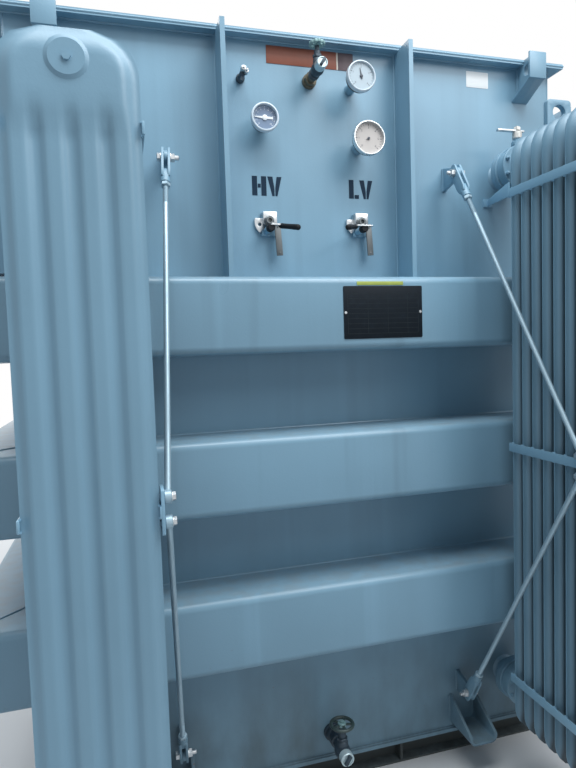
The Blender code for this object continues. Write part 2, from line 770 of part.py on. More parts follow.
def build_jack_pads(paint):
    """A bottom plate between two gussets that slope to a nose."""
    left = PAD_X - PAD_WIDTH / 2
    right = PAD_X + PAD_WIDTH / 2
    for place, (side, face) in CORNERS.items():
        base_top = PAD_BOTTOM + PAD_PLATE
        shapes = [slab((left, right), (SEAT, PAD_DEPTH), (PAD_BOTTOM, base_top))]
        outline = [
            (SEAT, base_top - WELD),
            (PAD_DEPTH - WELD, base_top - WELD),
            (PAD_DEPTH - WELD, PAD_BOTTOM + PAD_NOSE),
            (PAD_DEPTH - PAD_GUSSET, PAD_BOTTOM + PAD_NOSE),
            (SEAT, PAD_BOTTOM + PAD_RISE),
        ]
        for start in (left + WELD, right - WELD - PAD_GUSSET):
            shapes.append(prism(outline, 0, (start, start + PAD_GUSSET)))
        wall_node("jack_pad_" + place, shapes, paint, side, face)


def build_lifting_lugs(paint):
    """A web with its hole, a nose plate in front and a sloping plate under it."""
    top = COVER_TOP
    step_out = RIM_OVERHANG + LUG_RIM_GAP
    step_z = RIM_BOTTOM - SEAT
    low_nose = top - LUG_FLANGE_HEIGHT
    low_wall = low_nose - LUG_SLOPE
    nose = LUG_DEPTH - LUG_FLANGE
    half = LUG_FLANGE_WIDTH / 2
    for place, (side, face) in CORNERS.items():
        outline = [
            (SEAT, low_wall),
            (nose + WELD, low_nose),
            (nose + WELD, top - WELD),
            (step_out, top - WELD),
            (step_out, step_z),
            (SEAT, step_z),
        ]
        web = prism(outline, 0, (LUG_X - LUG_WEB / 2, LUG_X + LUG_WEB / 2))
        nose_plate = slab((LUG_X - half, LUG_X + half), (nose, LUG_DEPTH), (low_nose, top))
        slope = [
            (SEAT, low_wall),
            (nose, low_nose),
            (nose + WELD, low_nose + LUG_FLANGE),
            (SEAT, low_wall + LUG_FLANGE),
        ]
        slope_plate = prism(slope, 0, (LUG_X - half + WELD, LUG_X + half - WELD))
        hole_z = top - LUG_HOLE_DROP
        reach = LUG_WEB / 2 + OVERRUN
        hole = rod(
            (LUG_X - reach, LUG_HOLE_OUT, hole_z),
            (LUG_X + reach, LUG_HOLE_OUT, hole_z),
            LUG_HOLE / 2,
            PIPE_SIDES,
        )
        shapes = [web, nose_plate, slope_plate]
        wall_node("lifting_lug_" + place, shapes, paint, side, face, cuts=[hole])


# Instruments and valves

def build_gauges(finish):
    """Round dials in a bezel, each on a stem from the wall."""
    for name, (x, drop, radius, reach) in GAUGES.items():
        z = WALL_TOP - drop
        back = reach - GAUGE_DEPTH
        stem = radius * GAUGE_STEM_SHARE
        lip = radius - GAUGE_RIM
        profile = [
            (stem, SEAT),
            (stem, back),
            (lip, back),
            (radius, back + GAUGE_RIM),
            (radius, reach - GAUGE_RIM / 2),
            (radius - GAUGE_RIM / 2, reach),
            (lip, reach),
            (lip, reach - GAUGE_RECESS),
        ]
        wall_node(name, [turned(profile, DIAL_SIDES, (0, 1, 0), (x, 0, z))], finish, smooth=True)


def switch_mount(x, z):
    """Base plate on the wall, bracket with its gland, shaft boss, lock ear and hanging tongue."""
    across = (x - BASE_LEFT, x + BASE_RIGHT)
    base = slab(across, (SEAT, BASE_PLATE), (z - BASE_BELOW, z + BASE_ABOVE))
    upright = (z + BRACKET_RISE, z + BASE_ABOVE - WELD)
    inside = (across[0] + WELD, across[1] - WELD)
    bracket = slab(inside, (BASE_PLATE - WELD, BRACKET_REACH), upright)
    boss_foot = (x, BASE_PLATE - WELD, z)
    boss = rod(boss_foot, (x, SHAFT_BOSS_REACH, z), SHAFT_BOSS_RADIUS, PIPE_SIDES)
    gland_x = x + GLAND_X
    gland_z = z + GLAND_RISE
    gland_profile = [
        (GLAND_RADIUS, BRACKET_REACH - WELD),
        (GLAND_RADIUS, BRACKET_REACH + GLAND_RING),
        (GLAND_RING_RADIUS, BRACKET_REACH + GLAND_RING),
        (GLAND_RING_RADIUS, BRACKET_REACH + 2 * GLAND_RING),
        (GLAND_RADIUS, BRACKET_REACH + 2 * GLAND_RING),
        (GLAND_RADIUS, GLAND_REACH),
    ]
    gland = turned(gland_profile, PIPE_SIDES, (0, 1, 0), (gland_x, 0, gland_z))
    quadrant = [(gland_x, gland_z)] + arc((gland_x, gland_z), EAR_RADIUS, *EAR_DEGREES, BEND_STEPS)
    ear = prism(quadrant, 1, (EAR_OUT, EAR_OUT + EAR))
    tongue = bar(
        (x + TONGUE_TOP_X, BRACKET_REACH + TONGUE / 2 - WELD, z + TONGUE_TOP_RISE),
        (x + TONGUE_FOOT_X, BRACKET_REACH + TONGUE / 2 - WELD, z - TONGUE_FOOT_DROP),
        TONGUE_WIDTH,
        TONGUE,
        (1, 0, 0),
    )
    return [base, bracket, boss, gland, ear, tongue]


def switch_holes(x, z):
    """The lock hole in the ear and the blind hole in the gland's end."""
    gland_x = x + GLAND_X
    gland_z = z + GLAND_RISE
    lock_x = gland_x - EAR_HOLE_PLACE
    lock_z = z + BRACKET_RISE
    lock_end = EAR_OUT + EAR + OVERRUN
    lock = rod((lock_x, SEAT, lock_z), (lock_x, lock_end, lock_z), EAR_HOLE_RADIUS, ROD_SIDES)
    blind_start = (gland_x, GLAND_REACH - GLAND_HOLE_DEPTH, gland_z)
    blind_end = (gland_x, GLAND_REACH + OVERRUN, gland_z)
    end = rod(blind_start, blind_end, GLAND_HOLE_RADIUS, ROD_SIDES)
    return [lock, end]


def switch_handle(x, z, turn, tail, aside):
    """Hub on the shaft, flat lever and the grip that leans away from the wall."""
    back = SHAFT_BOSS_REACH + PIVOT_GAP
    hub = rod((x, back, z), (x, back + HUB, z), HUB_RADIUS, PIPE_SIDES)
    ends = (x - turn * tail, x + turn * LEVER_STRIP_LENGTH)
    strip_low = z + LEVER_STRIP_RISE
    strip = slab(
        (min(ends), max(ends)),
        (LEVER_STRIP_OUT, LEVER_STRIP_OUT + LEVER_STRIP_WIDTH),
        (strip_low, strip_low + LEVER_STRIP),
    )
    root_out = LEVER_STRIP_OUT + LEVER_STRIP_WIDTH / 2
    root = Vector((x + turn * GRIP_START_X, root_out, strip_low))
    tip = Vector((x + turn * aside, GRIP_REACH, strip_low - GRIP_FALL))
    length = (tip - root).length
    profile = [
        (GRIP_RADIUS, 0),
        (GRIP_RADIUS, length - 2 * GRIP_END_RADIUS),
        (GRIP_END_RADIUS, length - 2 * GRIP_END_RADIUS + GRIP_ROUND),
        (GRIP_END_RADIUS, length - GRIP_ROUND),
        (GRIP_END_RADIUS - GRIP_ROUND, length),
    ]
    grip = turned(profile, PIPE_SIDES, (tip - root).normalized(), root)
    return [hub, strip, grip]


def build_switches(steel, grip_black):
    for name, (x, drop, turn, tail, aside) in SWITCHES.items():
        z = WALL_TOP - drop
        wall_node(name + "_switch_mount", switch_mount(x, z), steel, cuts=switch_holes(x, z))
        pivot = (x, -HALF_WIDTH - SHAFT_BOSS_REACH - PIVOT_GAP, z)
        handle = switch_handle(x, z, turn, tail, aside)
        wall_node(name + "_switch_handle", handle, grip_black, pivot=pivot)


def valve_body(x, z, radius, reach, stem_out, stem_radius, wheel_z):
    """A turned body that runs out from the wall to its plug, with the stem's bonnet on top."""
    collar = radius + VALVE_COLLAR_EXTRA
    neck = radius * VALVE_NECK_SHARE
    plug = radius * VALVE_PLUG_SHARE
    body_start = stem_out - 2 * radius
    body_end = stem_out + radius
    profile = [
        (collar, SEAT),
        (collar, VALVE_COLLAR),
        (neck, VALVE_COLLAR),
        (neck, body_start),
        (radius, body_start + VALVE_COLLAR / 2),
        (radius, body_end),
        (plug, body_end),
        (plug, reach),
    ]
    body = turned(profile, DISC_SIDES, (0, 1, 0), (x, 0, z))
    top = wheel_z - WHEEL_HUB / 2 - PIVOT_GAP - z
    tip = stem_radius * STEM_TIP_SHARE
    bonnet_profile = [
        (neck, 0),
        (neck, radius + VALVE_COLLAR),
        (stem_radius, radius + VALVE_COLLAR),
        (stem_radius, top - VALVE_COLLAR),
        (tip, top - VALVE_COLLAR),
        (tip, top),
    ]
    bonnet = turned(bonnet_profile, PIPE_SIDES, (0, 0, 1), (x, stem_out, z))
    return [body, bonnet]


def handwheel(x, out, z, radius):
    """Rim, hub and spokes of a small handwheel that turns about the vertical."""
    ring = radius - WHEEL_RIM_RADIUS
    section = arc((ring, 0), WHEEL_RIM_RADIUS, 0, 360, WHEEL_RIM_SIDES)[:-1]
    rim = bmesh.new()
    loops = []
    for step in range(DISC_SIDES):
        angle = 2 * math.pi * step / DISC_SIDES
        place = [(r * math.cos(angle), r * math.sin(angle), height) for r, height in section]
        loops.append([rim.verts.new(point) for point in place])
    for here, after in zip(loops, loops[1:] + loops[:1]):
        for i in range(len(section)):
            j = (i + 1) % len(section)
            rim.faces.new((here[i], after[i], after[j], here[j]))
    bmesh.ops.recalc_face_normals(rim, faces=rim.faces)
    rim.transform(Matrix.Translation((x, out, z)))
    hub_foot = (x, out, z - WHEEL_HUB / 2)
    hub = rod(hub_foot, (x, out, z + WHEEL_HUB / 2), WHEEL_HUB_RADIUS, ROD_SIDES)
    shapes = [rim, hub]
    for step in range(WHEEL_SPOKES):
        angle = 2 * math.pi * step / WHEEL_SPOKES
        tip = (x + ring * math.cos(angle), out + ring * math.sin(angle), z)
        shapes.append(rod((x, out, z), tip, WHEEL_SPOKE_RADIUS, SPOKE_SIDES))
    return shapes


def build_valve(name, body, wheel_radius, brass, wheel_paint):
    """A globe valve and its handwheel: body holds what valve_body takes."""
    x, _, _, _, stem_out, _, wheel_z = body
    wall_node(name, valve_body(*body), brass)
    pivot = (x, -HALF_WIDTH - stem_out, wheel_z)
    wheel = handwheel(x, stem_out, wheel_z, wheel_radius)
    wall_node(name + "_wheel", wheel, wheel_paint, pivot=pivot)


def build_valves(brass, wheel_paint):
    fill_z = WALL_TOP - FILL_DROP
    fill = (
        FILL_X,
        fill_z,
        FILL_BODY_RADIUS,
        FILL_BODY_REACH,
        FILL_STEM_OUT,
        FILL_STEM_RADIUS,
        fill_z + FILL_WHEEL_RISE,
    )
    build_valve("fill_valve", fill, FILL_WHEEL_RADIUS, brass, wheel_paint)
    drain_z = WALL_BOTTOM + DRAIN_RISE
    drain = (
        DRAIN_X,
        drain_z,
        DRAIN_BODY_RADIUS,
        DRAIN_BODY_REACH,
        DRAIN_STEM_OUT,
        DRAIN_STEM_RADIUS,
        drain_z + DRAIN_WHEEL_RISE,
    )
    build_valve("drain_valve", drain, DRAIN_WHEEL_RADIUS, brass, wheel_paint)
    bleeder = [
        (BLEEDER_NUT_RADIUS, SEAT),
        (BLEEDER_NUT_RADIUS, VALVE_COLLAR),
        (BLEEDER_RADIUS, VALVE_COLLAR),
        (BLEEDER_RADIUS, BLEEDER_REACH - 2 * VALVE_COLLAR),
        (BLEEDER_NUT_RADIUS, BLEEDER_REACH - 2 * VALVE_COLLAR),
        (BLEEDER_NUT_RADIUS, BLEEDER_REACH),
    ]
    shape = turned(bleeder, PIPE_SIDES, (0, 1, 0), (BLEEDER_X, 0, WALL_TOP - BLEEDER_DROP))
    wall_node("bleeder_valve", [shape], brass)


# Ends and cover

def build_throats(paint):
    """Box throats for the terminals, closed by a bolted plate on their flange."""
    for name, side in (("hv_throat", -1), ("lv_throat", 1)):
        start = HALF_LENGTH + SEAT
        end = HALF_LENGTH + THROAT_REACH
        flange_start = end - THROAT_COVER - THROAT_FLANGE
        half = THROAT_WIDTH / 2
        wide = half + THROAT_FLANGE_WIDTH
        top = WALL_TOP - THROAT_DROP
        bottom = top - THROAT_HEIGHT
        low = bottom - THROAT_FLANGE_WIDTH
        high = top + THROAT_FLANGE_WIDTH
        lip = THROAT_COVER_LIP
        box = slab((start, flange_start + WELD), (-half, half), (bottom, top))
        flange = slab((flange_start, end - THROAT_COVER), (-wide, wide), (low, high))
        plate = slab(
            (end - THROAT_COVER - WELD, end), (-wide + lip, wide - lip), (low + lip, high - lip)
        )
        shapes = [box, flange, plate]
        for shape in shapes:
            if side < 0:
                shape.transform(Matrix.Scale(-1, 4, (1, 0, 0)))
                bmesh.ops.reverse_faces(shape, faces=shape.faces)
        node(name, shapes, paint)


def build_cover_fittings(paint, steel):
    """Pressure relief device and bolted handhole cover."""
    low = COVER_TOP + SEAT
    shoulder = low + RELIEF_HEIGHT - RELIEF_DOME
    crown = low + RELIEF_HEIGHT
    profile = [
        (RELIEF_FLANGE_RADIUS, low),
        (RELIEF_FLANGE_RADIUS, low + RELIEF_FLANGE),
        (RELIEF_RADIUS, low + RELIEF_FLANGE),
        (RELIEF_RADIUS, shoulder),
    ]
    profile += [
        (RELIEF_RADIUS * math.cos(angle), shoulder + RELIEF_DOME * math.sin(angle))
        for angle in (math.pi / 8, math.pi / 4)
    ]
    profile += [(RELIEF_PIN_RADIUS, crown), (RELIEF_PIN_RADIUS, crown + RELIEF_PIN)]
    relief = turned(profile, DISC_SIDES, (0, 0, 1), (RELIEF_X, 0, 0))
    node("pressure_relief", [relief], steel, smooth=True)
    half_x = HANDHOLE_LENGTH / 2
    half_y = HANDHOLE_WIDTH / 2
    lip = HANDHOLE_LIP
    frame = rounded_rectangle(
        (HANDHOLE_X - half_x + lip, HANDHOLE_X + half_x - lip),
        (lip - half_y, half_y - lip),
        HANDHOLE_CORNER - lip,
        CORNER_STEPS,
    )
    plate = rounded_rectangle(
        (HANDHOLE_X - half_x, HANDHOLE_X + half_x), (-half_y, half_y), HANDHOLE_CORNER, CORNER_STEPS
    )
    raised = low + HANDHOLE_RAISE
    shapes = [
        prism(frame, 2, (low, raised + WELD)),
        prism(plate, 2, (raised, raised + HANDHOLE_PLATE)),
    ]
    node("handhole_cover", shapes, paint)


def main():
    for item in list(bpy.data.objects):
        bpy.data.objects.remove(item)
    paint = material("tank_paint", (0.216, 0.352, 0.448), 0.42, 0)
    belt_paint = material("belt_paint", (0.225, 0.365, 0.462), 0.40, 0)
    radiator_paint = material("radiator_paint", (0.205, 0.335, 0.425), 0.45, 0)
    base_paint = material("base_paint", (0.085, 0.100, 0.105), 0.60, 0)
    steel = material("plated_steel", (0.52, 0.54, 0.55), 0.35, 0.8)
    dark = material("black_plastic", (0.03, 0.03, 0.03), 0.45, 0)
    brass = material("valve_metal", (0.24, 0.27, 0.27), 0.45, 0.4)
    wheel_paint = material("wheel_paint", (0.035, 0.055, 0.055), 0.50, 0)
    build_tank(paint)
    build_base(base_paint)
    build_belts(belt_paint)
    build_posts(paint)
    build_radiators(radiator_paint)
    build_radiator_eyes(radiator_paint)
    build_braces(steel)
    build_jack_pads(paint)
    build_lifting_lugs(paint)
    build_gauges(steel)
    build_switches(steel, dark)
    build_valves(brass, wheel_paint)
    build_throats(paint)
    build_cover_fittings(paint, steel)


main()
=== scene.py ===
import json
import math

import bmesh
import bpy
from mathutils import Matrix, Vector


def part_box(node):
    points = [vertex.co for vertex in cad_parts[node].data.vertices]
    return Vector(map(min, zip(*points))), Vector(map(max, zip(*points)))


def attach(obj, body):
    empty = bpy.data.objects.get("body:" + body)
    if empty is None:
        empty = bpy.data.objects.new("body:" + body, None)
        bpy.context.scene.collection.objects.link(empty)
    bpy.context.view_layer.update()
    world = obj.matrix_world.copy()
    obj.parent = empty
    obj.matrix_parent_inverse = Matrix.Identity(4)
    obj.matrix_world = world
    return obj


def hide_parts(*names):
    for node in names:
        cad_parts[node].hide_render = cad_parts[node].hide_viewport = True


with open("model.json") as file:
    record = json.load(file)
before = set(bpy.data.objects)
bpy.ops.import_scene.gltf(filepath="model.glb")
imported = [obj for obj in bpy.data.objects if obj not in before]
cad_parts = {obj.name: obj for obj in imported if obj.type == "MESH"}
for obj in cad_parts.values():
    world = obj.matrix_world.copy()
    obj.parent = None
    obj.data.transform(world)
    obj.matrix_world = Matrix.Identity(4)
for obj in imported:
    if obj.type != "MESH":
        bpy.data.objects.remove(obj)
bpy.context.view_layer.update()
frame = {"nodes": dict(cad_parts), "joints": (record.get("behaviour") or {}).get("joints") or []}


# Places read from the frame. Dressed faces stand SEAT off the solids; a weld's radius is BEAD.

WALL_LOW, WALL_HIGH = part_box("front_wall")
FRONT_Y = WALL_LOW.y
HALF_LENGTH = WALL_HIGH.x
HALF_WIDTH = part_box("rear_wall")[1].y
SEAT = 0.0003
BEAD = 0.004
CORNERS = {
    "front_left": (-1, -1),
    "front_right": (1, -1),
    "rear_left": (-1, 1),
    "rear_right": (1, 1),
}

# Radiator sizes, as in the solids
PANELS = 8
PANEL_PITCH = 0.050
FIRST_PANEL = 0.274
PANEL_OUTS = [FIRST_PANEL + PANEL_PITCH * number for number in range(PANELS)]
LAST_PANEL = PANEL_OUTS[-1]
PANEL_X = 0.763
HALF_PANEL = 0.150
PANEL_CORNER = 0.095
PANEL_TOP = 2.355
PANEL_BOTTOM = 0.246
HALF_TALL = (PANEL_TOP - PANEL_BOTTOM) / 2
HEAD_START = 0.215
UPPER_HEADER = 2.285
LOWER_HEADER = 0.316
STRAP_LEVELS = (2.151, 1.280, 0.446)
STRAP_HALF = 0.0145
STAY_X = 0.707


# Shader maths

class Number:
    """A value socket that can stand in a sum: each operation adds one Math node."""

    def __init__(self, shader, socket):
        self.shader = shader
        self.socket = socket

    def combine(self, operation, first, second):
        made = self.shader.node("ShaderNodeMath", {"operation": operation}, {0: first, 1: second})
        return Number(self.shader, made.outputs[0])

    def __add__(self, other):
        return self.combine("ADD", self, other)

    def __radd__(self, other):
        return self.combine("ADD", other, self)

    def __sub__(self, other):
        return self.combine("SUBTRACT", self, other)

    def __rsub__(self, other):
        return self.combine("SUBTRACT", other, self)

    def __mul__(self, other):
        return self.combine("MULTIPLY", self, other)

    def __rmul__(self, other):
        return self.combine("MULTIPLY", other, self)

    def size(self):
        return self.combine("ABSOLUTE", self, 0.0)

    def rise(self, low, high):
        """0 below low, 1 above high, smooth between."""
        settings = {"interpolation_type": "SMOOTHSTEP"}
        made = self.shader.node("ShaderNodeMapRange", settings, {0: self, 1: low, 2: high})
        return Number(self.shader, made.outputs[0])


class Finish:
    """A material with one Principled BSDF, and short ways to the nodes that vary it."""

    def __init__(self, name, slot, colour, roughness, metallic=0.0, coat=0.0):
        self.slot = slot
        self.material = bpy.data.materials.new(name)
        self.material.use_nodes = True
        self.tree = self.material.node_tree
        self.bsdf = self.tree.nodes["Principled BSDF"]
        self.set("Base Color", (*colour, 1))
        self.set("Roughness", roughness)
        self.set("Metallic", metallic)
        self.set("Coat Weight", coat)
        self.place = self.node("ShaderNodeTexCoord", {}, {}).outputs["Object"]

    def node(self, kind, settings, inputs):
        made = self.tree.nodes.new(kind)
        for name, value in settings.items():
            setattr(made, name, value)
        for key, value in inputs.items():
            self.feed(made.inputs[key], value)
        return made

    def feed(self, socket, value):
        if isinstance(value, Number):
            value = value.socket
        if isinstance(value, bpy.types.NodeSocket):
            self.tree.links.new(value, socket)
        else:
            socket.default_value = value

    def set(self, name, value):
        self.feed(self.bsdf.inputs[name], value)

    def noise(self, scale, detail, stretch=(1, 1, 1), roughness=0.5):
        mapped = self.node("ShaderNodeMapping", {}, {"Vector": self.place, "Scale": stretch}).outputs[0]
        inputs = {"Vector": mapped, "Scale": scale, "Detail": detail, "Roughness": roughness}
        return Number(self, self.node("ShaderNodeTexNoise", {}, inputs).outputs[0])

    def axis(self, name):
        made = self.node("ShaderNodeSeparateXYZ", {}, {0: self.place})
        return Number(self, made.outputs[name])

    def facing(self, name):
        """How far the surface faces along one axis, from -1 to 1."""
        normal = self.node("ShaderNodeNewGeometry", {}, {}).outputs["True Normal"]
        made = self.node("ShaderNodeSeparateXYZ", {}, {0: normal})
        return Number(self, made.outputs[name])

    def mix(self, factor, first, second):
        first = (*first, 1) if isinstance(first, tuple) else first
        second = (*second, 1) if isinstance(second, tuple) else second
        inputs = {0: factor, 6: first, 7: second}
        return self.node("ShaderNodeMix", {"data_type": "RGBA"}, inputs).outputs[2]

    def bump(self, height, strength, distance, after=None):
        inputs = {"Height": height, "Strength": strength, "Distance": distance}
        if after is not None:
            inputs["Normal"] = after
        return self.node("ShaderNodeBump", {}, inputs).outputs[0]


def shade(colour, factor):
    return tuple(min(1.0, part * factor) for part in colour)


# Finishes

TANK_BLUE = (0.190, 0.340, 0.450)
DUST = (0.215, 0.285, 0.325)
GRIME = (0.045, 0.055, 0.055)
RUST = (0.190, 0.065, 0.025)
# Rain streaks: noise scale, detail, upright stretch and roughness, start, end, share, tone
STREAKS = (
    (9.0, 3.0, 0.045, 0.6, 0.50, 0.78, 0.22, 1.35),
    (14.0, 2.0, 0.06, 0.5, 0.56, 0.75, 0.16, 0.60),
    (3.4, 1.0, 0.03, 0.4, 0.54, 0.68, 0.13, 1.40),
)


def painted_gap_shade(made):
    """Painted shade: 1 deep between the radiator panels below their heads, where the gaps lie in shade; 0 at
    their edges and outer faces.
    """
    across = (made.axis("X").size() - PANEL_X).size()
    out = made.axis("Y").size() - HALF_WIDTH
    inner = out.rise(FIRST_PANEL - 0.040, FIRST_PANEL - 0.020)
    outer = 1 - out.rise(LAST_PANEL + 0.001, LAST_PANEL + 0.003)
    under = 1 - made.axis("Z").rise(PANEL_TOP - HEAD_START, PANEL_TOP - 0.060)
    return (1 - across.rise(HALF_PANEL - 0.030, HALF_PANEL - 0.012)) * inner * outer * under


def painted(name, slot, colour, dirt, streaks, roughness=0.33, shade_between_panels=False):
    """Sprayed enamel on plate: cloudy tone, rain streaks, dust on ledges, grime low down, and painted shade
    between radiator panels where asked.
    """
    made = Finish(name, slot, colour, roughness)
    clouds = made.noise(1.6, 3.0)
    tone = made.mix(clouds.rise(0.3, 0.7), shade(colour, 0.93), shade(colour, 1.06))
    for scale, detail, stretch, rough, low, high, share, factor in STREAKS:
        streak = made.noise(scale, detail, (1.0, 1.0, stretch), rough).rise(low, high)
        tone = made.mix(streak * (share * streaks), tone, shade(colour, factor))
    up = made.facing("Z").rise(0.6, 0.95)
    patches = made.noise(22.0, 4.0).rise(0.35, 0.70)
    tone = made.mix(up * (0.20 + 0.40 * patches) * dirt, tone, DUST)
    low = 1 - made.axis("Z").rise(0.08, 0.75)
    smear = made.noise(7.0, 4.0, (1.0, 1.0, 0.5)).rise(0.25, 0.75)
    tone = made.mix(low * (0.30 + 0.45 * smear) * dirt, tone, GRIME)
    # Painted shade: the gaps between radiator panels are darkened to a tenth of the colour.
    if shade_between_panels:
        tone = made.mix(painted_gap_shade(made) * 0.92, tone, shade(colour, 0.10))
    specks = made.noise(60.0, 2.0).rise(0.745, 0.77) * (1 - made.axis("Z").rise(0.1, 0.9))
    tone = made.mix(specks * (0.5 * dirt), tone, RUST)
    made.set("Base Color", tone)
    made.set("Roughness", roughness + 0.10 * clouds + 0.30 * up * dirt + 0.20 * low * dirt)
    peel = made.bump(made.noise(180.0, 2.0), 0.10, 0.002)
    made.set("Normal", made.bump(made.noise(2.2, 2.0), 0.12, 0.020, peel))
    return made


def metal(name, slot, colour, roughness, metallic, grain=120.0, wear=0.25):
    """Plated or cast metal with a fine grain and darker spots."""
    made = Finish(name, slot, colour, roughness, metallic)
    grains = made.noise(grain, 3.0)
    spots = made.noise(grain / 5, 4.0).rise(0.45, 0.75)
    made.set("Base Color", made.mix(spots * wear, shade(colour, 1.05), shade(colour, 0.45)))
    made.set("Roughness", roughness - 0.08 + 0.20 * grains + 0.15 * spots)
    made.set("Normal", made.bump(grains, 0.12, 0.0015))
    return made


def printed(name, slot, colour, roughness, scuff=0.15, coat=0.0):
    """A printed or moulded surface with faint scuffs; dark ones have less sheen."""
    made = Finish(name, slot, colour, roughness, 0.0, coat)
    made.set("Specular IOR Level", min(0.5, 0.08 + max(colour)))
    marks = made.noise(45.0, 4.0).rise(0.45, 0.80)
    made.set("Base Color", made.mix(marks * scuff, colour, shade(colour, 1.6)))
    made.set("Roughness", roughness + 0.15 * marks)
    made.set("Normal", made.bump(made.noise(350.0, 1.0), 0.06, 0.001))
    return made


TANK = painted("tank_paint", "tank_paint", TANK_BLUE, 1.0, 0.8)
BELT = painted("belt_paint", "tank_paint", TANK_BLUE, 1.0, 1.7, 0.24)
# The radiator paint carries painted shade in the gaps between its panels.
RADIATOR = painted("radiator_paint", "radiator_paint", shade(TANK_BLUE, 0.98), 0.4, 0.6, 0.33, True)
# Painted light: the straps take a lighter copy of the tank blue, for the light they catch facing out.
STRAP_LIT_PAINT = painted("strap_lit_paint", "radiator_paint", shade(TANK_BLUE, 1.25), 0.3, 0.4)
BASE = painted("base_paint", "base_paint", (0.050, 0.060, 0.062), 1.0, 0.5)
PLATED = metal("plated_steel", "plated_steel", (0.55, 0.58, 0.60), 0.32, 0.9)
GALVANIZED = metal("galvanized_rod", "plated_steel", (0.33, 0.46, 0.54), 0.36, 0.35, 60.0, 0.15)
BEZEL = metal("gauge_bezel", "instrument", (0.78, 0.82, 0.84), 0.22, 0.85, 200.0, 0.08)
RING = printed("gauge_ring", "instrument", (0.60, 0.69, 0.76), 0.30, 0.10, 0.4)
CASE = printed("gauge_case", "instrument", (0.070, 0.072, 0.070), 0.45)
NAVY = metal("valve_navy", "valve_metal", (0.035, 0.055, 0.075), 0.42, 0.3)
OLIVE = metal("valve_union", "valve_metal", (0.120, 0.110, 0.078), 0.45, 0.4, 90.0, 0.4)
PLUG = metal("bright_plug", "valve_metal", (0.46, 0.58, 0.62), 0.32, 0.5, 90.0, 0.2)
WHEEL = metal("wheel_enamel", "wheel_paint", (0.030, 0.050, 0.050), 0.40, 0.1, 90.0, 0.3)
WHEEL_TEAL = metal("wheel_teal", "wheel_paint", (0.190, 0.320, 0.330), 0.40, 0.2, 60.0, 0.6)
GRIP = printed("dipped_grip", "black_grip", (0.020, 0.022, 0.025), 0.40)
TONGUE = metal("weathered_tongue", "plated_steel", (0.150, 0.165, 0.170), 0.50, 0.5, 70.0, 0.5)
GLAND = metal("dark_gland", "plated_steel", (0.16, 0.18, 0.19), 0.30, 0.8, 150.0, 0.5)
HUB_RUSTY = metal("weathered_hub", "plated_steel", (0.52, 0.52, 0.50), 0.45, 0.5, 420.0, 0.8)
DIAL_PALE = printed("dial_pale", "instrument", (0.40, 0.49, 0.55), 0.40, 0.05)
DIAL_BLUE = printed("dial_blue", "instrument", (0.160, 0.225, 0.330), 0.40, 0.05)
DIAL_CREAM = printed("dial_cream", "instrument", (0.50, 0.47, 0.45), 0.40, 0.05)
INK = printed("dial_ink", "instrument", (0.10, 0.11, 0.13), 0.50, 0.0)
POINTER_WHITE = printed("pointer_white", "instrument", (0.80, 0.84, 0.86), 0.35, 0.0)
STENCIL = printed("stencil_navy", "tank_paint", (0.009, 0.027, 0.052), 0.50, 0.10)
PLATE_ORANGE = printed("plate_orange", "instrument", (0.235, 0.078, 0.050), 0.45, 0.2)
PLATE_BROWN = printed("plate_brown", "instrument", (0.120, 0.090, 0.100), 0.42, 0.2)
PLATE_CREAM = printed("plate_cream", "instrument", (0.50, 0.46, 0.40), 0.40, 0.1)
PLATE_BLACK = printed("plate_black", "instrument", (0.009, 0.014, 0.020), 0.38, 0.5)
PLATE_GREY = printed("plate_grey", "instrument", (0.024, 0.033, 0.038), 0.45, 0.3)
PLATE_LIME = printed("plate_lime", "instrument", (0.360, 0.430, 0.090), 0.40, 0.3)
STICKER = printed("sticker_white", "instrument", (0.82, 0.86, 0.87), 0.45, 0.1)

FINISHES = {"base_": BASE, "radiator_": RADIATOR, "brace_": GALVANIZED}


def finish_nodes():
    """Every carried-over node gets the finish of its kind."""
    for name, solid in frame["nodes"].items():
        starts = [start for start in FINISHES if name.startswith(start)]
        finish = FINISHES[starts[0]] if starts else TANK
        solid.data.materials.clear()
        solid.data.materials.append(finish.material)


# Making shapes. Wall coordinates are (x, out from the long wall's face, z).

UP = (0, 0, 1)
RIGHT = (1, 0, 0)
LEFT = (-1, 0, 0)
MERGE = 0.00001
WELD_SIDES = 8
SHARP_DEGREES = 30


def on_wall(side, face):
    """Wall coordinates to the frame's: side mirrors x, face -1 is the front wall."""
    return Matrix.Translation((0, face * HALF_WIDTH, 0)) @ Matrix.Diagonal((side, face, 1, 1))


FRONT = on_wall(1, -1)
WALLS = {place: on_wall(*signs) for place, signs in CORNERS.items()}


def wall_box(name):
    """A front node's box in wall coordinates."""
    low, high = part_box(name)
    return Vector((low.x, FRONT_Y - high.y, low.z)), Vector((high.x, FRONT_Y - low.y, high.z))


def around(middle, half):
    return middle - half, middle + half


def polar(centre, radius, angle):
    return centre[0] + radius * math.cos(angle), centre[1] + radius * math.sin(angle)


def arc(centre, radius, start, end, steps):
    angles = [math.radians(start + (end - start) * i / steps) for i in range(steps + 1)]
    return [polar(centre, radius, angle) for angle in angles]


def circle(centre, radius, steps):
    return arc(centre, radius, 0, 360, steps)[:-1]


def waved(centre, radius, height, steps):
    """A circle with twelve waves, like the edge of a knob."""
    angles = [2 * math.pi * step / steps for step in range(steps)]
    return [polar(centre, radius + height * math.cos(12 * angle), angle) for angle in angles]


def rounded(x_span, z_span, radius, steps=6):
    left, right = x_span[0] + radius, x_span[1] - radius
    bottom, top = z_span[0] + radius, z_span[1] - radius
    corners = ((right, top, 0), (left, top, 90), (left, bottom, 180), (right, bottom, 270))
    return [p for x, z, start in corners for p in arc((x, z), radius, start, start + 90, steps)]


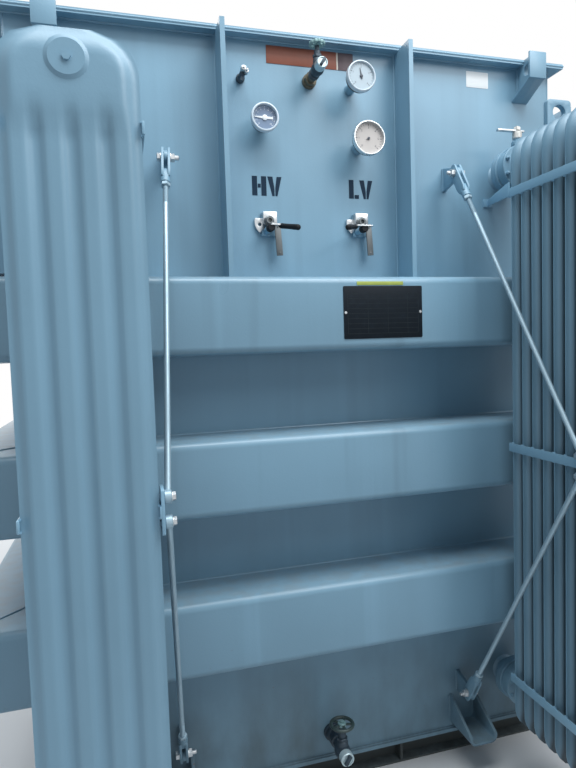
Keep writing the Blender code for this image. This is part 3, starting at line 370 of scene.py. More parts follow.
def disc(radius, start, end, edge=0.0015):
    """The rim of a disc with broken edges, as (radius, along) points."""
    return [(radius - edge, start), (radius, start + edge), (radius, end - edge), (radius - edge, end)]


def vertices(items):
    return [item for item in items if isinstance(item, bmesh.types.BMVert)]


def axes_at(place, x, y, z):
    """The matrix that moves the origin to a place and turns it to these axes."""
    return Matrix.Translation(place) @ Matrix((x, y, z)).transposed().to_4x4()


def soften(mesh, verts, width):
    """Rounds the sharp edges of the shape that these vertices belong to."""
    edges = dict.fromkeys(edge for vertex in verts for edge in vertex.link_edges)
    faces = dict.fromkeys(face for edge in edges for face in edge.link_faces)
    bmesh.ops.recalc_face_normals(mesh, faces=list(faces))
    limit = math.radians(SHARP_DEGREES)
    sharp = [edge for edge in edges if len(edge.link_faces) == 2 and edge.calc_face_angle() > limit]
    bmesh.ops.bevel(mesh, geom=sharp, offset=width, segments=2, profile=0.5, affect="EDGES", material=-1)


def cube(mesh, matrix, soft=0.0):
    verts = bmesh.ops.create_cube(mesh, size=1.0, matrix=matrix)["verts"]
    if soft:
        soften(mesh, verts, soft)


def block(mesh, low, high, soft=0.0):
    size = [abs(high[i] - low[i]) for i in range(3)]
    middle = [(high[i] + low[i]) / 2 for i in range(3)]
    cube(mesh, Matrix.Translation(middle) @ Matrix.Diagonal((*size, 1)), soft)


def strip(mesh, start, end, width, thickness, across, soft=0.001):
    """A flat bar between two points, its width as near to the direction across as can be."""
    start, end, across = Vector(start), Vector(end), Vector(across)
    along = (end - start).normalized()
    side = (across - along * along.dot(across)).normalized()
    size = Matrix.Diagonal(((end - start).length, width, thickness, 1))
    cube(mesh, axes_at((start + end) / 2, along, side, along.cross(side)) @ size, soft)


def bar(mesh, start, end, radius, sides):
    start, end = Vector(start), Vector(end)
    turn = (end - start).to_track_quat("Z", "Y").to_matrix().to_4x4()
    matrix = Matrix.Translation((start + end) / 2) @ turn
    depth = (end - start).length
    bmesh.ops.create_cone(
        mesh, cap_ends=True, segments=sides, radius1=radius, radius2=radius, depth=depth, matrix=matrix
    )


def weld(mesh, start, end, radius=BEAD):
    bar(mesh, start, end, radius, WELD_SIDES)


def turned(mesh, profile, centre, axis=(0, 1, 0), steps=40, closed=False):
    """A full spin of (radius, along) points; an open profile is led to the axis at its ends."""
    points = list(profile)
    if not closed and points[0][0]:
        points.insert(0, (0, points[0][1]))
    if not closed and points[-1][0]:
        points.append((0, points[-1][1]))
    turn = Vector(UP).rotation_difference(Vector(axis)).to_matrix().to_4x4()
    matrix = Matrix.Translation(centre) @ turn
    verts = [mesh.verts.new(matrix @ Vector((radius, 0, along))) for radius, along in points]
    pairs = list(zip(verts, verts[1:])) + ([(verts[-1], verts[0])] if closed else [])
    edges = [mesh.edges.new(pair) for pair in pairs]
    whole = 2 * math.pi
    bmesh.ops.spin(
        mesh, geom=verts + edges, cent=centre, axis=axis, angle=whole, steps=steps, use_merge=True
    )


def drawn(mesh, outline, axis, span, holes=(), soft=0.0, matrix=None):
    """An outline across one axis, filled round its holes and drawn out along the axis."""
    others = [i for i in range(3) if i != axis]
    edges = []
    verts = []
    for loop in (outline, *holes):
        ends = []
        for first, second in loop:
            place = [0, 0, 0]
            place[others[0]], place[others[1]], place[axis] = first, second, span[0]
            ends.append(mesh.verts.new(place))
        edges += [mesh.edges.new(pair) for pair in zip(ends, ends[1:] + ends[:1])]
        verts += ends
    filled = bmesh.ops.triangle_fill(mesh, use_beauty=True, use_dissolve=False, edges=edges)["geom"]
    faces = [item for item in filled if isinstance(item, bmesh.types.BMFace)]
    moved = vertices(bmesh.ops.extrude_face_region(mesh, geom=faces)["geom"])
    step = [0, 0, 0]
    step[axis] = span[1] - span[0]
    bmesh.ops.translate(mesh, verts=moved, vec=step)
    if matrix is not None:
        bmesh.ops.transform(mesh, matrix=matrix, verts=verts + moved)
    if soft:
        soften(mesh, verts + moved, soft)


def bolt(mesh, place, axis, across, height, stub=0.0):
    """Washer and hexagon head or nut, with a stub of thread where it is a nut."""
    radius = across / math.sqrt(3)
    rim = across * 0.62
    washer = across * 0.12
    turned(mesh, [(rim, 0), (rim, washer)], place, axis, 16)
    top = washer + height
    cut = radius * 0.16
    turned(mesh, [(radius, washer - SEAT), (radius, top - cut / 2), (radius - cut, top)], place, axis, 6)
    if stub:
        thread = across * 0.31
        end = top + stub
        turned(mesh, [(thread, top - SEAT), (thread, end - cut), (thread - cut, end)], place, axis, 10)


def mesh_data(name, mesh):
    data = bpy.data.meshes.new(name)
    mesh.to_mesh(data)
    mesh.free()
    return data


def add_object(name, data):
    made = bpy.data.objects.new(name, data)
    bpy.context.scene.collection.objects.link(made)
    return made


def piece(name, mesh, finish, stands_for=None, matrix=FRONT, body="tank", degrees=35):
    """The finished object: placed, closed, faces out, shaded, riding on its body."""
    if matrix is not None:
        mesh.transform(matrix)
    bmesh.ops.remove_doubles(mesh, verts=mesh.verts, dist=MERGE)
    bmesh.ops.recalc_face_normals(mesh, faces=mesh.faces)
    data = mesh_data(name, mesh)
    data.materials.append(finish.material)
    data.shade_smooth()
    data.set_sharp_from_angle(angle=math.radians(degrees))
    made = add_object(name, data)
    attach(made, body)
    if stands_for:
        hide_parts(stands_for)


# Radiators

SEAM = 0.0016
SEAM_EDGE = 0.005
SEAM_BEND = 0.010
CHANNEL_PITCH = 0.072
CHANNEL_RISE = 0.0125
CHANNELS_HALF = 0.144
HEAD_FADE = 0.045
HEAD_RISE = 0.0190
HEAD_BEND = 0.036
HEADER_RADIUS = 0.042
FLANGE_RADIUS = 0.082
FLANGE = 0.015
STUB = 0.060
VALVE_START = STUB + 2 * FLANGE
VALVE_RADIUS = 0.075
VALVE = 0.034
VALVE_END = VALVE_START + VALVE
STUD_CIRCLE = 0.0705
STEM_OUT = VALVE_START + VALVE / 2


def smooth(value, low, high):
    share = min(1.0, max(0.0, (value - low) / (high - low)))
    return share * share * (3 - 2 * share)


def skin_height(x, z):
    """How far one skin of a panel stands from the panel's middle plane."""
    across = abs(x) - (HALF_PANEL - PANEL_CORNER)
    along = abs(z) - (HALF_TALL - PANEL_CORNER)
    outside = math.hypot(max(across, 0), max(along, 0)) + min(max(across, along), 0)
    margin = PANEL_CORNER - outside
    body = smooth(margin, SEAM_EDGE, SEAM_EDGE + SEAM_BEND)
    wave = 0.5 - 0.5 * math.cos(2 * math.pi * x / CHANNEL_PITCH)
    channel = 0.15 + 0.85 * smooth(wave, 0.05, 0.60) if abs(x) < CHANNELS_HALF else 0.15
    start = HALF_TALL - HEAD_START
    head = smooth(abs(z), start, start + HEAD_FADE)
    crown = smooth(margin, SEAM_EDGE, SEAM_EDGE + HEAD_BEND)
    return SEAM + CHANNEL_RISE * body * (1 - head) * channel + HEAD_RISE * crown * head


def pressed_panel():
    """Two pressed skins with upright oil channels and raised heads, welded at a thin seam."""
    mesh = bmesh.new()
    bmesh.ops.create_grid(mesh, x_segments=44, y_segments=60, size=1.0)
    for vertex in mesh.verts:
        share, level = vertex.co.x, vertex.co.y
        z = HALF_TALL * (level + math.sin(math.pi / 2 * level)) / 2
        into = max(0.0, abs(z) - (HALF_TALL - PANEL_CORNER))
        width = HALF_PANEL - PANEL_CORNER + math.sqrt(max(0.0, PANEL_CORNER ** 2 - into ** 2))
        x = share * width
        vertex.co = (x, skin_height(x, z), z)
    grown = bmesh.ops.duplicate(mesh, geom=mesh.verts[:] + mesh.edges[:] + mesh.faces[:])["geom"]
    bmesh.ops.scale(mesh, vec=(1, -1, 1), verts=vertices(grown))
    bmesh.ops.bridge_loops(mesh, edges=[edge for edge in mesh.edges if edge.is_boundary])
    bmesh.ops.recalc_face_normals(mesh, faces=mesh.faces)
    return mesh_data("pressed_panel", mesh)


def radiator_panels(panel):
    """The stack of panels of one radiator, in wall coordinates."""
    mesh = bmesh.new()
    for out in PANEL_OUTS:
        before = len(mesh.verts)
        mesh.from_mesh(panel)
        mesh.verts.ensure_lookup_table()
        place = (PANEL_X, out, (PANEL_TOP + PANEL_BOTTOM) / 2)
        bmesh.ops.translate(mesh, verts=mesh.verts[before:], vec=place)
    return mesh


def header_profile():
    """Stub and flange pair, butterfly valve, radiator flange and the pipe with a collar at each panel."""
    pipe = HEADER_RADIUS
    profile = [(pipe + 0.010, SEAT), (pipe + 0.004, 0.005), (pipe, 0.010), (pipe, STUB - 0.006)]
    profile += [(pipe + 0.006, STUB), *disc(FLANGE_RADIUS, STUB, STUB + FLANGE)]
    profile += disc(FLANGE_RADIUS, STUB + FLANGE, VALVE_START)
    profile += [(VALVE_RADIUS, VALVE_START), (VALVE_RADIUS, VALVE_END)]
    end = VALVE_END + FLANGE
    profile += disc(FLANGE_RADIUS, VALVE_END, end)
    profile += [(pipe + 0.009, end), (pipe + 0.003, end + 0.004), (pipe, end + 0.010)]
    for out in PANEL_OUTS:
        profile += [(pipe, out - 0.023), (pipe + 0.006, out - 0.020)]
        profile += [(pipe + 0.006, out + 0.020), (pipe, out + 0.023)]
    return profile + [(pipe - 0.004, LAST_PANEL + 0.026)]


def radiator_headers():
    mesh = bmesh.new()
    for level in (UPPER_HEADER, LOWER_HEADER):
        turned(mesh, header_profile(), (PANEL_X, 0, level))
        for x, z in arc((PANEL_X, level), STUD_CIRCLE, 22.5, 337.5, 7):
            bolt(mesh, (x, VALVE_END + FLANGE, z), (0, 1, 0), 0.013, 0.007, 0.004)
            bolt(mesh, (x, STUB, z), (0, -1, 0), 0.013, 0.007, 0.004)
        turned(mesh, [(0.010, 0), (0.010, 0.006)], (PANEL_X, LAST_PANEL + 0.025, level), steps=6)
    return mesh


def radiator_straps():
    """Flat bars across the seams, the wall stay and the plate that the brace rods bolt to."""
    mesh = bmesh.new()
    inner, outer = around(PANEL_X, HALF_PANEL)
    start, end = FIRST_PANEL - 0.016, LAST_PANEL + 0.016
    for level in STRAP_LEVELS:
        low, high = around(level, STRAP_HALF)
        block(mesh, (inner - 0.006, start, low), (inner - SEAT, end, high), 0.001)
        block(mesh, (outer + SEAT, start, low), (outer + 0.006, end, high), 0.001)
        for out in PANEL_OUTS:
            for x in (inner, outer):
                for z in (low, high):
                    weld(mesh, (x, out - 0.006, z), (x, out + 0.006, z), 0.0028)
    top, middle, _ = STRAP_LEVELS
    plate_x = inner - 0.012
    plate = rounded((end - 0.060, end), around(middle, 0.055), 0.006, 3)
    drawn(mesh, plate, 0, (plate_x, plate_x + 0.008), soft=0.0008)
    for z in around(middle, ROD_SPREAD):
        bolt(mesh, (plate_x + 0.008, ROD_END[1], z), RIGHT, 0.018, 0.008, 0.004)
    reach = FIRST_PANEL - 0.004
    lean = Matrix.Identity(4)
    lean[0][1] = (inner - 0.009 - STAY_X) / reach
    stay = [(0.002, top + 0.022), (reach, top - 0.012), (reach, top + 0.036), (0.002, top + 0.044)]
    drawn(mesh, stay, 0, (STAY_X, STAY_X + 0.006), soft=0.001, matrix=lean)
    block(mesh, (STAY_X - 0.018, SEAT, top + 0.018), (STAY_X + 0.020, 0.006, top + 0.048), 0.001)
    return mesh


def make_valve_lever(place, wall):
    """Stem, weathered hub, bright lever with a square eye, and the nut that locks it."""
    centre = (PANEL_X, STEM_OUT, UPPER_HEADER)
    mesh = bmesh.new()
    stem = [(0.0155, 0.070), (0.0155, 0.084), (0.021, 0.086), (0.021, 0.096), (0.014, 0.099)]
    turned(mesh, stem + [(0.014, 0.110)], centre, UP, 24)
    for x in around(PANEL_X, 0.0165):
        bolt(mesh, (x, STEM_OUT, UPPER_HEADER + 0.096), UP, 0.008, 0.005)
    piece("valve_stem_" + place, mesh, RADIATOR, matrix=wall)
    mesh = bmesh.new()
    hub = [(0.015, 0.108), (0.0175, 0.111), (0.0175, 0.130), (0.0155, 0.132), (0.0155, 0.1345)]
    nut = [(0.013, 0.1395), (0.013, 0.149), (0.0115, 0.151)]
    end = [(0.0075, 0.150), (0.0075, 0.154), (0.006, 0.155)]
    for profile, steps in ((hub, 24), (nut, 6), (end, 14)):
        turned(mesh, profile, centre, UP, steps)
    piece("valve_hub_" + place, mesh, HUB_RUSTY, matrix=wall)
    mesh = bmesh.new()
    tip = PANEL_X - 0.085
    outline = rounded((tip, PANEL_X + 0.028), around(STEM_OUT, 0.0075), 0.003, 4)
    eye = rounded((tip + 0.005, tip + 0.014), around(STEM_OUT, 0.004), 0.001, 2)
    level = UPPER_HEADER + 0.134
    drawn(mesh, outline, 2, (level, level + 0.006), holes=[eye], soft=0.0006)
    piece("valve_lever_" + place, mesh, PLATED, matrix=wall)


def make_radiator_eye(place, wall):
    """Lifting plate with a round hole, welded upright on the header."""
    low, high = wall_box("radiator_eye_front_right")
    x = (high.x + low.x) / 2
    outline = rounded((low.x, high.x), (low.z, high.z), 0.012)
    hole = circle((x, high.z - 0.042), 0.025, 32)
    mesh = bmesh.new()
    drawn(mesh, outline, 1, (low.y, high.y), holes=[hole], soft=0.0015)
    for out in (low.y, high.y):
        weld(mesh, (x - 0.024, out, low.z + 0.001), (x + 0.024, out, low.z + 0.001), 0.005)
    piece("lifting_eye_" + place, mesh, RADIATOR, "radiator_eye_" + place, wall)


def make_radiators():
    panel = pressed_panel()
    for place, wall in WALLS.items():
        node = "radiator_" + place
        piece("radiator_panels_" + place, radiator_panels(panel), RADIATOR, node, wall, degrees=40)
        piece("radiator_headers_" + place, radiator_headers(), RADIATOR, node, wall)
        piece("radiator_straps_" + place, radiator_straps(), STRAP_LIT_PAINT, node, wall)
        make_valve_lever(place, wall)
        make_radiator_eye(place, wall)


# Brace rods

PIN_OUT = 0.090
ROD_END = (0.5917, 0.6100)
ROD_SPREAD = 0.030
ROD_EYE_HALF = 0.009
LUG_HALF = 0.006
CHEEK = 0.008
RODS = (("upper", 0.520, 2.263, ROD_SPREAD), ("lower", 0.547, 0.303, -ROD_SPREAD))


def brace_fork(pin, end):
    """Painted lug on the wall and the fork that straddles it."""
    mesh = bmesh.new()
    lug = [(SEAT, pin.z - 0.043), *arc((PIN_OUT, pin.z), 0.0215, -90, 90, 12), (SEAT, pin.z + 0.043)]
    drawn(mesh, lug, 0, around(pin.x, LUG_HALF), soft=0.001)
    for x in around(pin.x, LUG_HALF):
        weld(mesh, (x, 0.002, pin.z - 0.041), (x, 0.002, pin.z + 0.041))
    along = (end - pin).normalized()
    across = Vector(RIGHT)
    across = (across - along * along.dot(across)).normalized()
    level = along.cross(across)
    local = axes_at(pin, along, level, across)
    cheek = arc((-0.018, 0.009), 0.012, 90, 180, 6) + arc((-0.018, -0.009), 0.012, 180, 270, 6)
    cheek += [(0.070, -0.020), (0.086, -0.014), (0.086, 0.014), (0.070, 0.020)]
    for span in ((-LUG_HALF - CHEEK, -LUG_HALF), (LUG_HALF, LUG_HALF + CHEEK)):
        drawn(mesh, cheek, 2, span, soft=0.0012, matrix=local)
    strip(mesh, pin + along * 0.060, pin + along * 0.088, 0.028, 2 * LUG_HALF + CHEEK, level)
    turned(mesh, disc(0.0150, 0.080, 0.108), pin, along, 20)
    return mesh


def brace_rod(pin, end):
    """Lock nut, threaded end, rod and the eye at its far end."""
    along = (end - pin).normalized()
    mesh = bmesh.new()
    thread = [(0.0078, 0.107)]
    for number in range(26):
        start = 0.124 + number * 0.0025
        thread += [(0.0078, start), (0.0085, start + 0.00125)]
    turned(mesh, thread + [(0.0080, 0.192), (0.0080, (end - pin).length)], pin, along, 14)
    turned(mesh, disc(0.0150, 0.1085, 0.121), pin, along, 6)
    turned(mesh, disc(0.0170, -ROD_EYE_HALF, ROD_EYE_HALF, 0.002), end, RIGHT, 24)
    return mesh


def brace_bolts(pin, end):
    """Headed pin through the fork, its nut with a stub of thread, and the bolt at the far end."""
    mesh = bmesh.new()
    half = Vector((LUG_HALF + CHEEK, 0, 0))
    bolt(mesh, pin + half, RIGHT, 0.024, 0.010)
    bolt(mesh, pin - half, LEFT, 0.024, 0.012, 0.014)
    bar(mesh, pin - half, pin + half, 0.0075, 12)
    bolt(mesh, end - Vector((ROD_EYE_HALF, 0, 0)), LEFT, 0.019, 0.008)
    return mesh


def make_braces():
    for place, wall in WALLS.items():
        for level, x, z, spread in RODS:
            ends = Vector((x, PIN_OUT, z)), Vector((*ROD_END, STRAP_LEVELS[1] + spread))
            node = "brace_" + level + "_" + place
            piece(level + "_fork_" + place, brace_fork(*ends), TANK, node, wall)
            piece(level + "_rod_" + place, brace_rod(*ends), GALVANIZED, node, wall)
            piece(level + "_bolts_" + place, brace_bolts(*ends), PLATED, matrix=wall)


# Tank: belts, welds, pads and lugs

BELT_BEND = 0.026
MITRE_BEAD = 0.003
WELD_OUT = 0.002


def at_corner(side, face, out, z):
    """A place that is so far out past both walls at one upright corner."""
    return Vector((side * (HALF_LENGTH + out), face * (HALF_WIDTH + out), z))


def ring(mesh, profile):
    """A closed (out, z) profile carried round the tank with mitred corners."""
    loops = []
    for side, face in ((1, -1), (1, 1), (-1, 1), (-1, -1)):
        verts = [mesh.verts.new(at_corner(side, face, out, z)) for out, z in profile]
        loops.append([mesh.edges.new(pair) for pair in zip(verts, verts[1:] + verts[:1])])
    for here, after in zip(loops, loops[1:] + loops[:1]):
        bmesh.ops.bridge_loops(mesh, edges=here + after)


def ring_weld(mesh, z, out=BEAD / 3, radius=BEAD):
    ring(mesh, circle((out, z), radius, WELD_SIDES))


def make_belts():
    """Box stiffeners with pressed bends, their welds to the wall and at the mitres."""
    for name in ("upper_belt", "middle_belt", "lower_belt"):
        low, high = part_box(name)
        depth = FRONT_Y - low.y
        nose = depth - BELT_BEND
        bottom, top = low.z + BELT_BEND, high.z - BELT_BEND
        profile = [(SEAT, low.z), *arc((nose, bottom), BELT_BEND, -90, 0, 8)]
        profile += [*arc((nose, top), BELT_BEND, 0, 90, 8), (SEAT, high.z)]
        mesh = bmesh.new()
        ring(mesh, profile)
        piece(name + "_plate", mesh, BELT, name, None, degrees=30)
        mesh = bmesh.new()
        for z in (low.z, high.z):
            ring_weld(mesh, z)
        for signs in CORNERS.values():
            for z in (low.z, high.z):
                weld(mesh, at_corner(*signs, 0, z), at_corner(*signs, nose, z), MITRE_BEAD)
            edge = depth - 0.0022
            weld(mesh, at_corner(*signs, edge, bottom), at_corner(*signs, edge, top), MITRE_BEAD)
        piece(name + "_welds", mesh, BELT, matrix=None)


def make_tank_welds():
    """Beads along the posts, the cover's edge and the upright corners of the shell."""
    mesh = bmesh.new()
    cover_low, cover_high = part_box("cover_plate")
    ring_weld(mesh, cover_low.z, cover_high.x - HALF_LENGTH - 0.002, 0.0045)
    ring_weld(mesh, WALL_HIGH.z)
    ring_weld(mesh, WALL_LOW.z)
    for place, signs in CORNERS.items():
        ends = [at_corner(*signs, -0.0015, z) for z in (WALL_LOW.z, WALL_HIGH.z)]
        weld(mesh, *ends, 0.0035)
        low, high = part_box("post_" + place)
        y = signs[1] * (HALF_WIDTH + 0.001)
        for x in (low.x, high.x):
            weld(mesh, (x, y, low.z), (x, y, high.z))
    piece("tank_welds", mesh, TANK, matrix=None)


def jack_pad(low, high):
    """A trough bent from plate, its sides cut on a slope from the wall to the nose."""
    mesh = bmesh.new()
    outside, inside = 0.026, 0.014
    wall = 0.011
    bend = wall + inside
    outline = [(low.x, high.z), *arc((low.x + outside, low.z + outside), outside, 180, 270, 6)]
    outline += arc((high.x - outside, low.z + outside), outside, 270, 360, 6)
    outline += [(high.x, high.z), (high.x - wall, high.z)]
    outline += arc((high.x - bend, low.z + bend), inside, 360, 270, 5)
    outline += arc((low.x + bend, low.z + bend), inside, 270, 180, 5)
    outline += [(low.x + wall, high.z)]
    drawn(mesh, outline, 1, (SEAT, high.y))
    nose = Vector((0, high.y, low.z + 0.036))
    slope = Vector((0, high.z - nose.z, high.y - 0.004))
    geometry = mesh.verts[:] + mesh.edges[:] + mesh.faces[:]
    bmesh.ops.bisect_plane(mesh, geom=geometry, plane_co=nose, plane_no=slope, clear_outer=True)
    bmesh.ops.holes_fill(mesh, edges=[edge for edge in mesh.edges if edge.is_boundary], sides=0)
    soften(mesh, mesh.verts[:], 0.0015)
    for x in (low.x, low.x + wall, high.x - wall, high.x):
        weld(mesh, (x, WELD_OUT, low.z + 0.030), (x, WELD_OUT, high.z - 0.006))
    return mesh


def lifting_lug(low, high):
    """A web with its hole, a nose plate in front and a sloping plate under it."""
    mesh = bmesh.new()
    x = (low.x + high.x) / 2
    depth, back = high.y, high.y - 0.008
    top, nose_low = high.z - 0.002, high.z - 0.095
    outline = [(SEAT, low.z), (back, nose_low), (back, top), (0.044, top)]
    outline += [(0.044, WALL_HIGH.z), (SEAT, WALL_HIGH.z)]
    hole = circle((0.062, high.z - 0.045), 0.021, 28)
    drawn(mesh, outline, 0, around(x, 0.010), holes=[hole], soft=0.001)
    block(mesh, (low.x, depth - 0.010, nose_low), (high.x, depth, high.z), 0.0015)
    slope = [(SEAT, low.z), (depth - 0.010, nose_low), (back, nose_low + 0.010), (SEAT, low.z + 0.010)]
    drawn(mesh, slope, 0, (low.x + 0.002, high.x - 0.002), soft=0.001)
    for edge in around(x, 0.010):
        weld(mesh, (edge, WELD_OUT, low.z + 0.012), (edge, WELD_OUT, WALL_HIGH.z - 0.004))
        out = depth - 0.011
        weld(mesh, (edge, out, nose_low + 0.010), (edge, out, high.z - 0.004), 0.003)
    return mesh


def make_pads_and_lugs():
    kinds = (("jacking_pad_", "jack_pad_", jack_pad), ("lug_", "lifting_lug_", lifting_lug))
    for start, node, build in kinds:
        low, high = wall_box(node + "front_right")
        for place, wall in WALLS.items():
            piece(start + place, build(low, high), TANK, node + place, wall)


# Gauges: recess, share of the ring, finishes of ring, card and marks, scale, hand

GAUGES = {
    "pressure_gauge":
        (0.012, 0.15, RING, DIAL_BLUE, POINTER_WHITE, (0.93, 10, 5), (178, 0.86, 0.70, 0.085, 0.22)),
    "level_gauge": (0.007, 0.12, RING, DIAL_PALE, INK, (0.92, 4, 5), (100, 0.60, 0.20, 0.045, 0.12)),
    "temperature_gauge":
        (0.012, 0.08, BEZEL, DIAL_CREAM, INK, (0.90, 6, 4), (205, 0.22, 0.10, 0.030, 0.085)),
}
DIAL_SIDES = 20
NUMBER_SHARE = 0.17
MARK = 0.0002
CHARACTER_DEPTH = 0.0003


class Dial:
    """One dial gauge: its place and sizes come from its node's box."""

    def __init__(self, name, recess, ring_share):
        low, high = wall_box(name)
        self.name = name
        self.x = (low.x + high.x) / 2
        self.z = (low.z + high.z) / 2
        self.radius = (high.x - low.x) / 2 / math.cos(math.pi / DIAL_SIDES)
        self.reach = high.y
        self.face = self.reach - recess
        self.inner = self.radius * (1 - ring_share)

    def spun(self, part, finish, profile, steps=64, closed=False, stands_for=None):
        """One piece that is turned about the dial's axis."""
        mesh = bmesh.new()
        turned(mesh, profile, (self.x, 0, self.z), steps=steps, closed=closed)
        piece(self.name + part, mesh, finish, stands_for)

    def case(self):
        """The stem out of the wall and the drum behind the bezel."""
        radius, back = self.radius, self.reach - 0.036
        stem = radius * 0.32
        foot = stem * 1.12
        profile = [(foot, SEAT), *disc(foot, 0.006, 0.010), (stem, 0.011), (stem, back + 0.002)]
        self.spun("_stem", TANK, profile, 40, stands_for=self.name)
        drum, front = radius * 0.93, self.reach - 0.018
        profile = [(radius * 0.80, back), (radius * 0.90, back + 0.003), (drum, back + 0.008), (drum, front)]
        self.spun("_case", CASE, profile, stands_for=self.name)

    def bezel(self, finish):
        radius, reach, inner = self.radius, self.reach, self.inner
        back = self.face - 0.001
        rim = [(radius * 0.92, reach - 0.020), (radius, reach - 0.018), (radius, reach - 0.004)]
        rim += arc((radius - 0.004, reach - 0.004), 0.004, 0, 90, 4)
        rim += [(inner + 0.002, reach), (inner, reach - 0.002), (inner, back), (radius * 0.92, back)]
        self.spun("_bezel", finish, rim, closed=True)

    def card(self, finish):
        rim = self.inner + SEAT
        self.spun("_dial", finish, [(rim, self.face - 0.003), (rim, self.face)])

    def swing(self, degrees):
        """From lying along x at the origin to pointing that way on the card."""
        spin = Matrix.Rotation(-math.radians(degrees), 4, "Y")
        return Matrix.Translation((self.x, self.face, self.z)) @ spin

    def stroke(self, mesh, degrees, outer, length, width):
        """One mark that points to the middle; sizes are shares of the dial's radius."""
        radius = self.inner
        size = Matrix.Diagonal((length * radius, 2 * MARK, width * radius, 1))
        middle = Matrix.Translation(((outer - length / 2) * radius, MARK, 0))
        cube(mesh, self.swing(degrees) @ middle @ size)

    def scale(self, finish, outer, majors, minors):
        """Long and short strokes over three quarters of a turn, with a number at each long one."""
        mesh = bmesh.new()
        count = majors * minors
        for number in range(count + 1):
            degrees = 225 - 270 * number / count
            if number % minors:
                self.stroke(mesh, degrees, outer, 0.07, 0.018)
                continue
            self.stroke(mesh, degrees, outer, 0.13, 0.032)
            x, z = polar((self.x, self.z), self.inner * (outer - 0.24), math.radians(degrees))
            words(mesh, str(number // minors), self.inner * NUMBER_SHARE, (x, self.face + MARK, z))
        piece(self.name + "_scale", mesh, finish)

    def hand(self, finish, degrees, length, tail, half, hub):
        """A tapered hand with its tail and hub; sizes are shares of the dial's radius."""
        length, tail, half, hub = (share * self.inner for share in (length, tail, half, hub))
        wide, point = half * 1.3, half * 0.3
        outline = [(-tail, -half), (0, -wide), (length, -point), (length, point), (0, wide), (-tail, half)]
        mesh = bmesh.new()
        drawn(mesh, outline, 1, (0.0012, 0.0022), matrix=self.swing(degrees))
        face = self.face
        boss = [(hub, face), (hub, face + 0.0030), (hub * 0.7, face + 0.0040)]
        turned(mesh, boss, (self.x, 0, self.z), steps=28)
        piece(self.name + "_hand", mesh, finish)


def words(mesh, text, size, place):
    """Plain characters laid flat against the wall, centred on place."""
    raised = Matrix(((1, 0, 0, 0), (0, 0, 1, 0), (0, 1, 0, 0), (0, 0, 0, 1)))
    curve = bpy.data.curves.new("characters", "FONT")
    curve.body = text
    curve.size = size
    curve.extrude = CHARACTER_DEPTH / 2
    curve.align_x = "CENTER"
    curve.align_y = "CENTER"
    curve.resolution_u = 3
    holder = add_object("characters", curve)
    shaped = holder.evaluated_get(bpy.context.evaluated_depsgraph_get())
    data = bpy.data.meshes.new_from_object(shaped)
    bpy.data.objects.remove(holder)
    data.transform(Matrix.Translation(place) @ raised)
    mesh.from_mesh(data)
    bpy.data.meshes.remove(data)


def make_gauges():
    for name, (recess, ring_share, rim, card, ink, scale, hand) in GAUGES.items():
        dial = Dial(name, recess, ring_share)
        dial.case()
        dial.bezel(rim)
        dial.card(card)
        dial.scale(ink, *scale)
        dial.hand(ink, *hand)


# Switches: which way the lever points, its tail, and how far aside its grip ends

SWITCHES = {"hv": (1, 0.004, 0.080), "lv": (-1, 0.031, 0.093)}


def shaft_place(name):
    """The shaft's place in the frame, from its joint."""
    for joint in frame["joints"]:
        if joint["name"] == name + "_handle_turn":
            return Vector(joint["pos_m"])


def make_switch_mount(name, x, z):
    base = "switch_" + name
    mesh = bmesh.new()
    outline = rounded((x - 0.018, x + 0.035), (z - 0.018, z + 0.064), 0.004, 3)
    drawn(mesh, outline, 1, (SEAT, 0.008), soft=0.0008)
    boss = [(0.0125, 0.006), (0.0125, 0.040), (0.011, 0.042), (0.011, 0.052)]
    turned(mesh, boss, (x, 0, z), steps=28)
    piece(base + "_base", mesh, TANK, name + "_switch_mount")
    mesh = bmesh.new()
    block(mesh, (x - 0.016, 0.006, z + 0.020), (x + 0.033, 0.030, z + 0.062), 0.002)
    gland_x, gland_z = x + 0.003, z + 0.029
    inside = gland_x - 0.012
    ear = arc((gland_x, gland_z), 0.046, 163, 232, 12)
    ear += [(inside, gland_z - 0.020), (inside, gland_z + 0.013)]
    hole = circle((gland_x - 0.028, z + 0.021), 0.006, 20)
    drawn(mesh, ear, 1, (0.0045, 0.012), holes=[hole], soft=0.0008)
    piece(base + "_bracket", mesh, PLATED)
    mesh = bmesh.new()
    gland = [(0, 0.028), *disc(0.0180, 0.0285, 0.034), (0.0125, 0.035), *disc(0.0165, 0.037, 0.042)]
    gland += [(0.0125, 0.043), *disc(0.0135, 0.044, 0.050), (0.0070, 0.050), (0.0070, 0.038)]
    turned(mesh, gland, (gland_x, 0, gland_z), steps=32)
    piece(base + "_gland", mesh, GLAND)
    mesh = bmesh.new()
    top = Vector((x + 0.032, 0.0315, z + 0.022))
    foot = Vector((x + 0.0385, 0.0315, z - 0.088))
    strip(mesh, top, foot, 0.022, 0.006, RIGHT, 0.0012)
    rivet = [(0.004, -0.001), (0.004, 0.0012), (0.0025, 0.002)]
    for share in (0.10, 0.92):
        turned(mesh, rivet, top.lerp(foot, share) + Vector((0, 0.003, 0)), steps=14)
    piece(base + "_tongue", mesh, TONGUE)


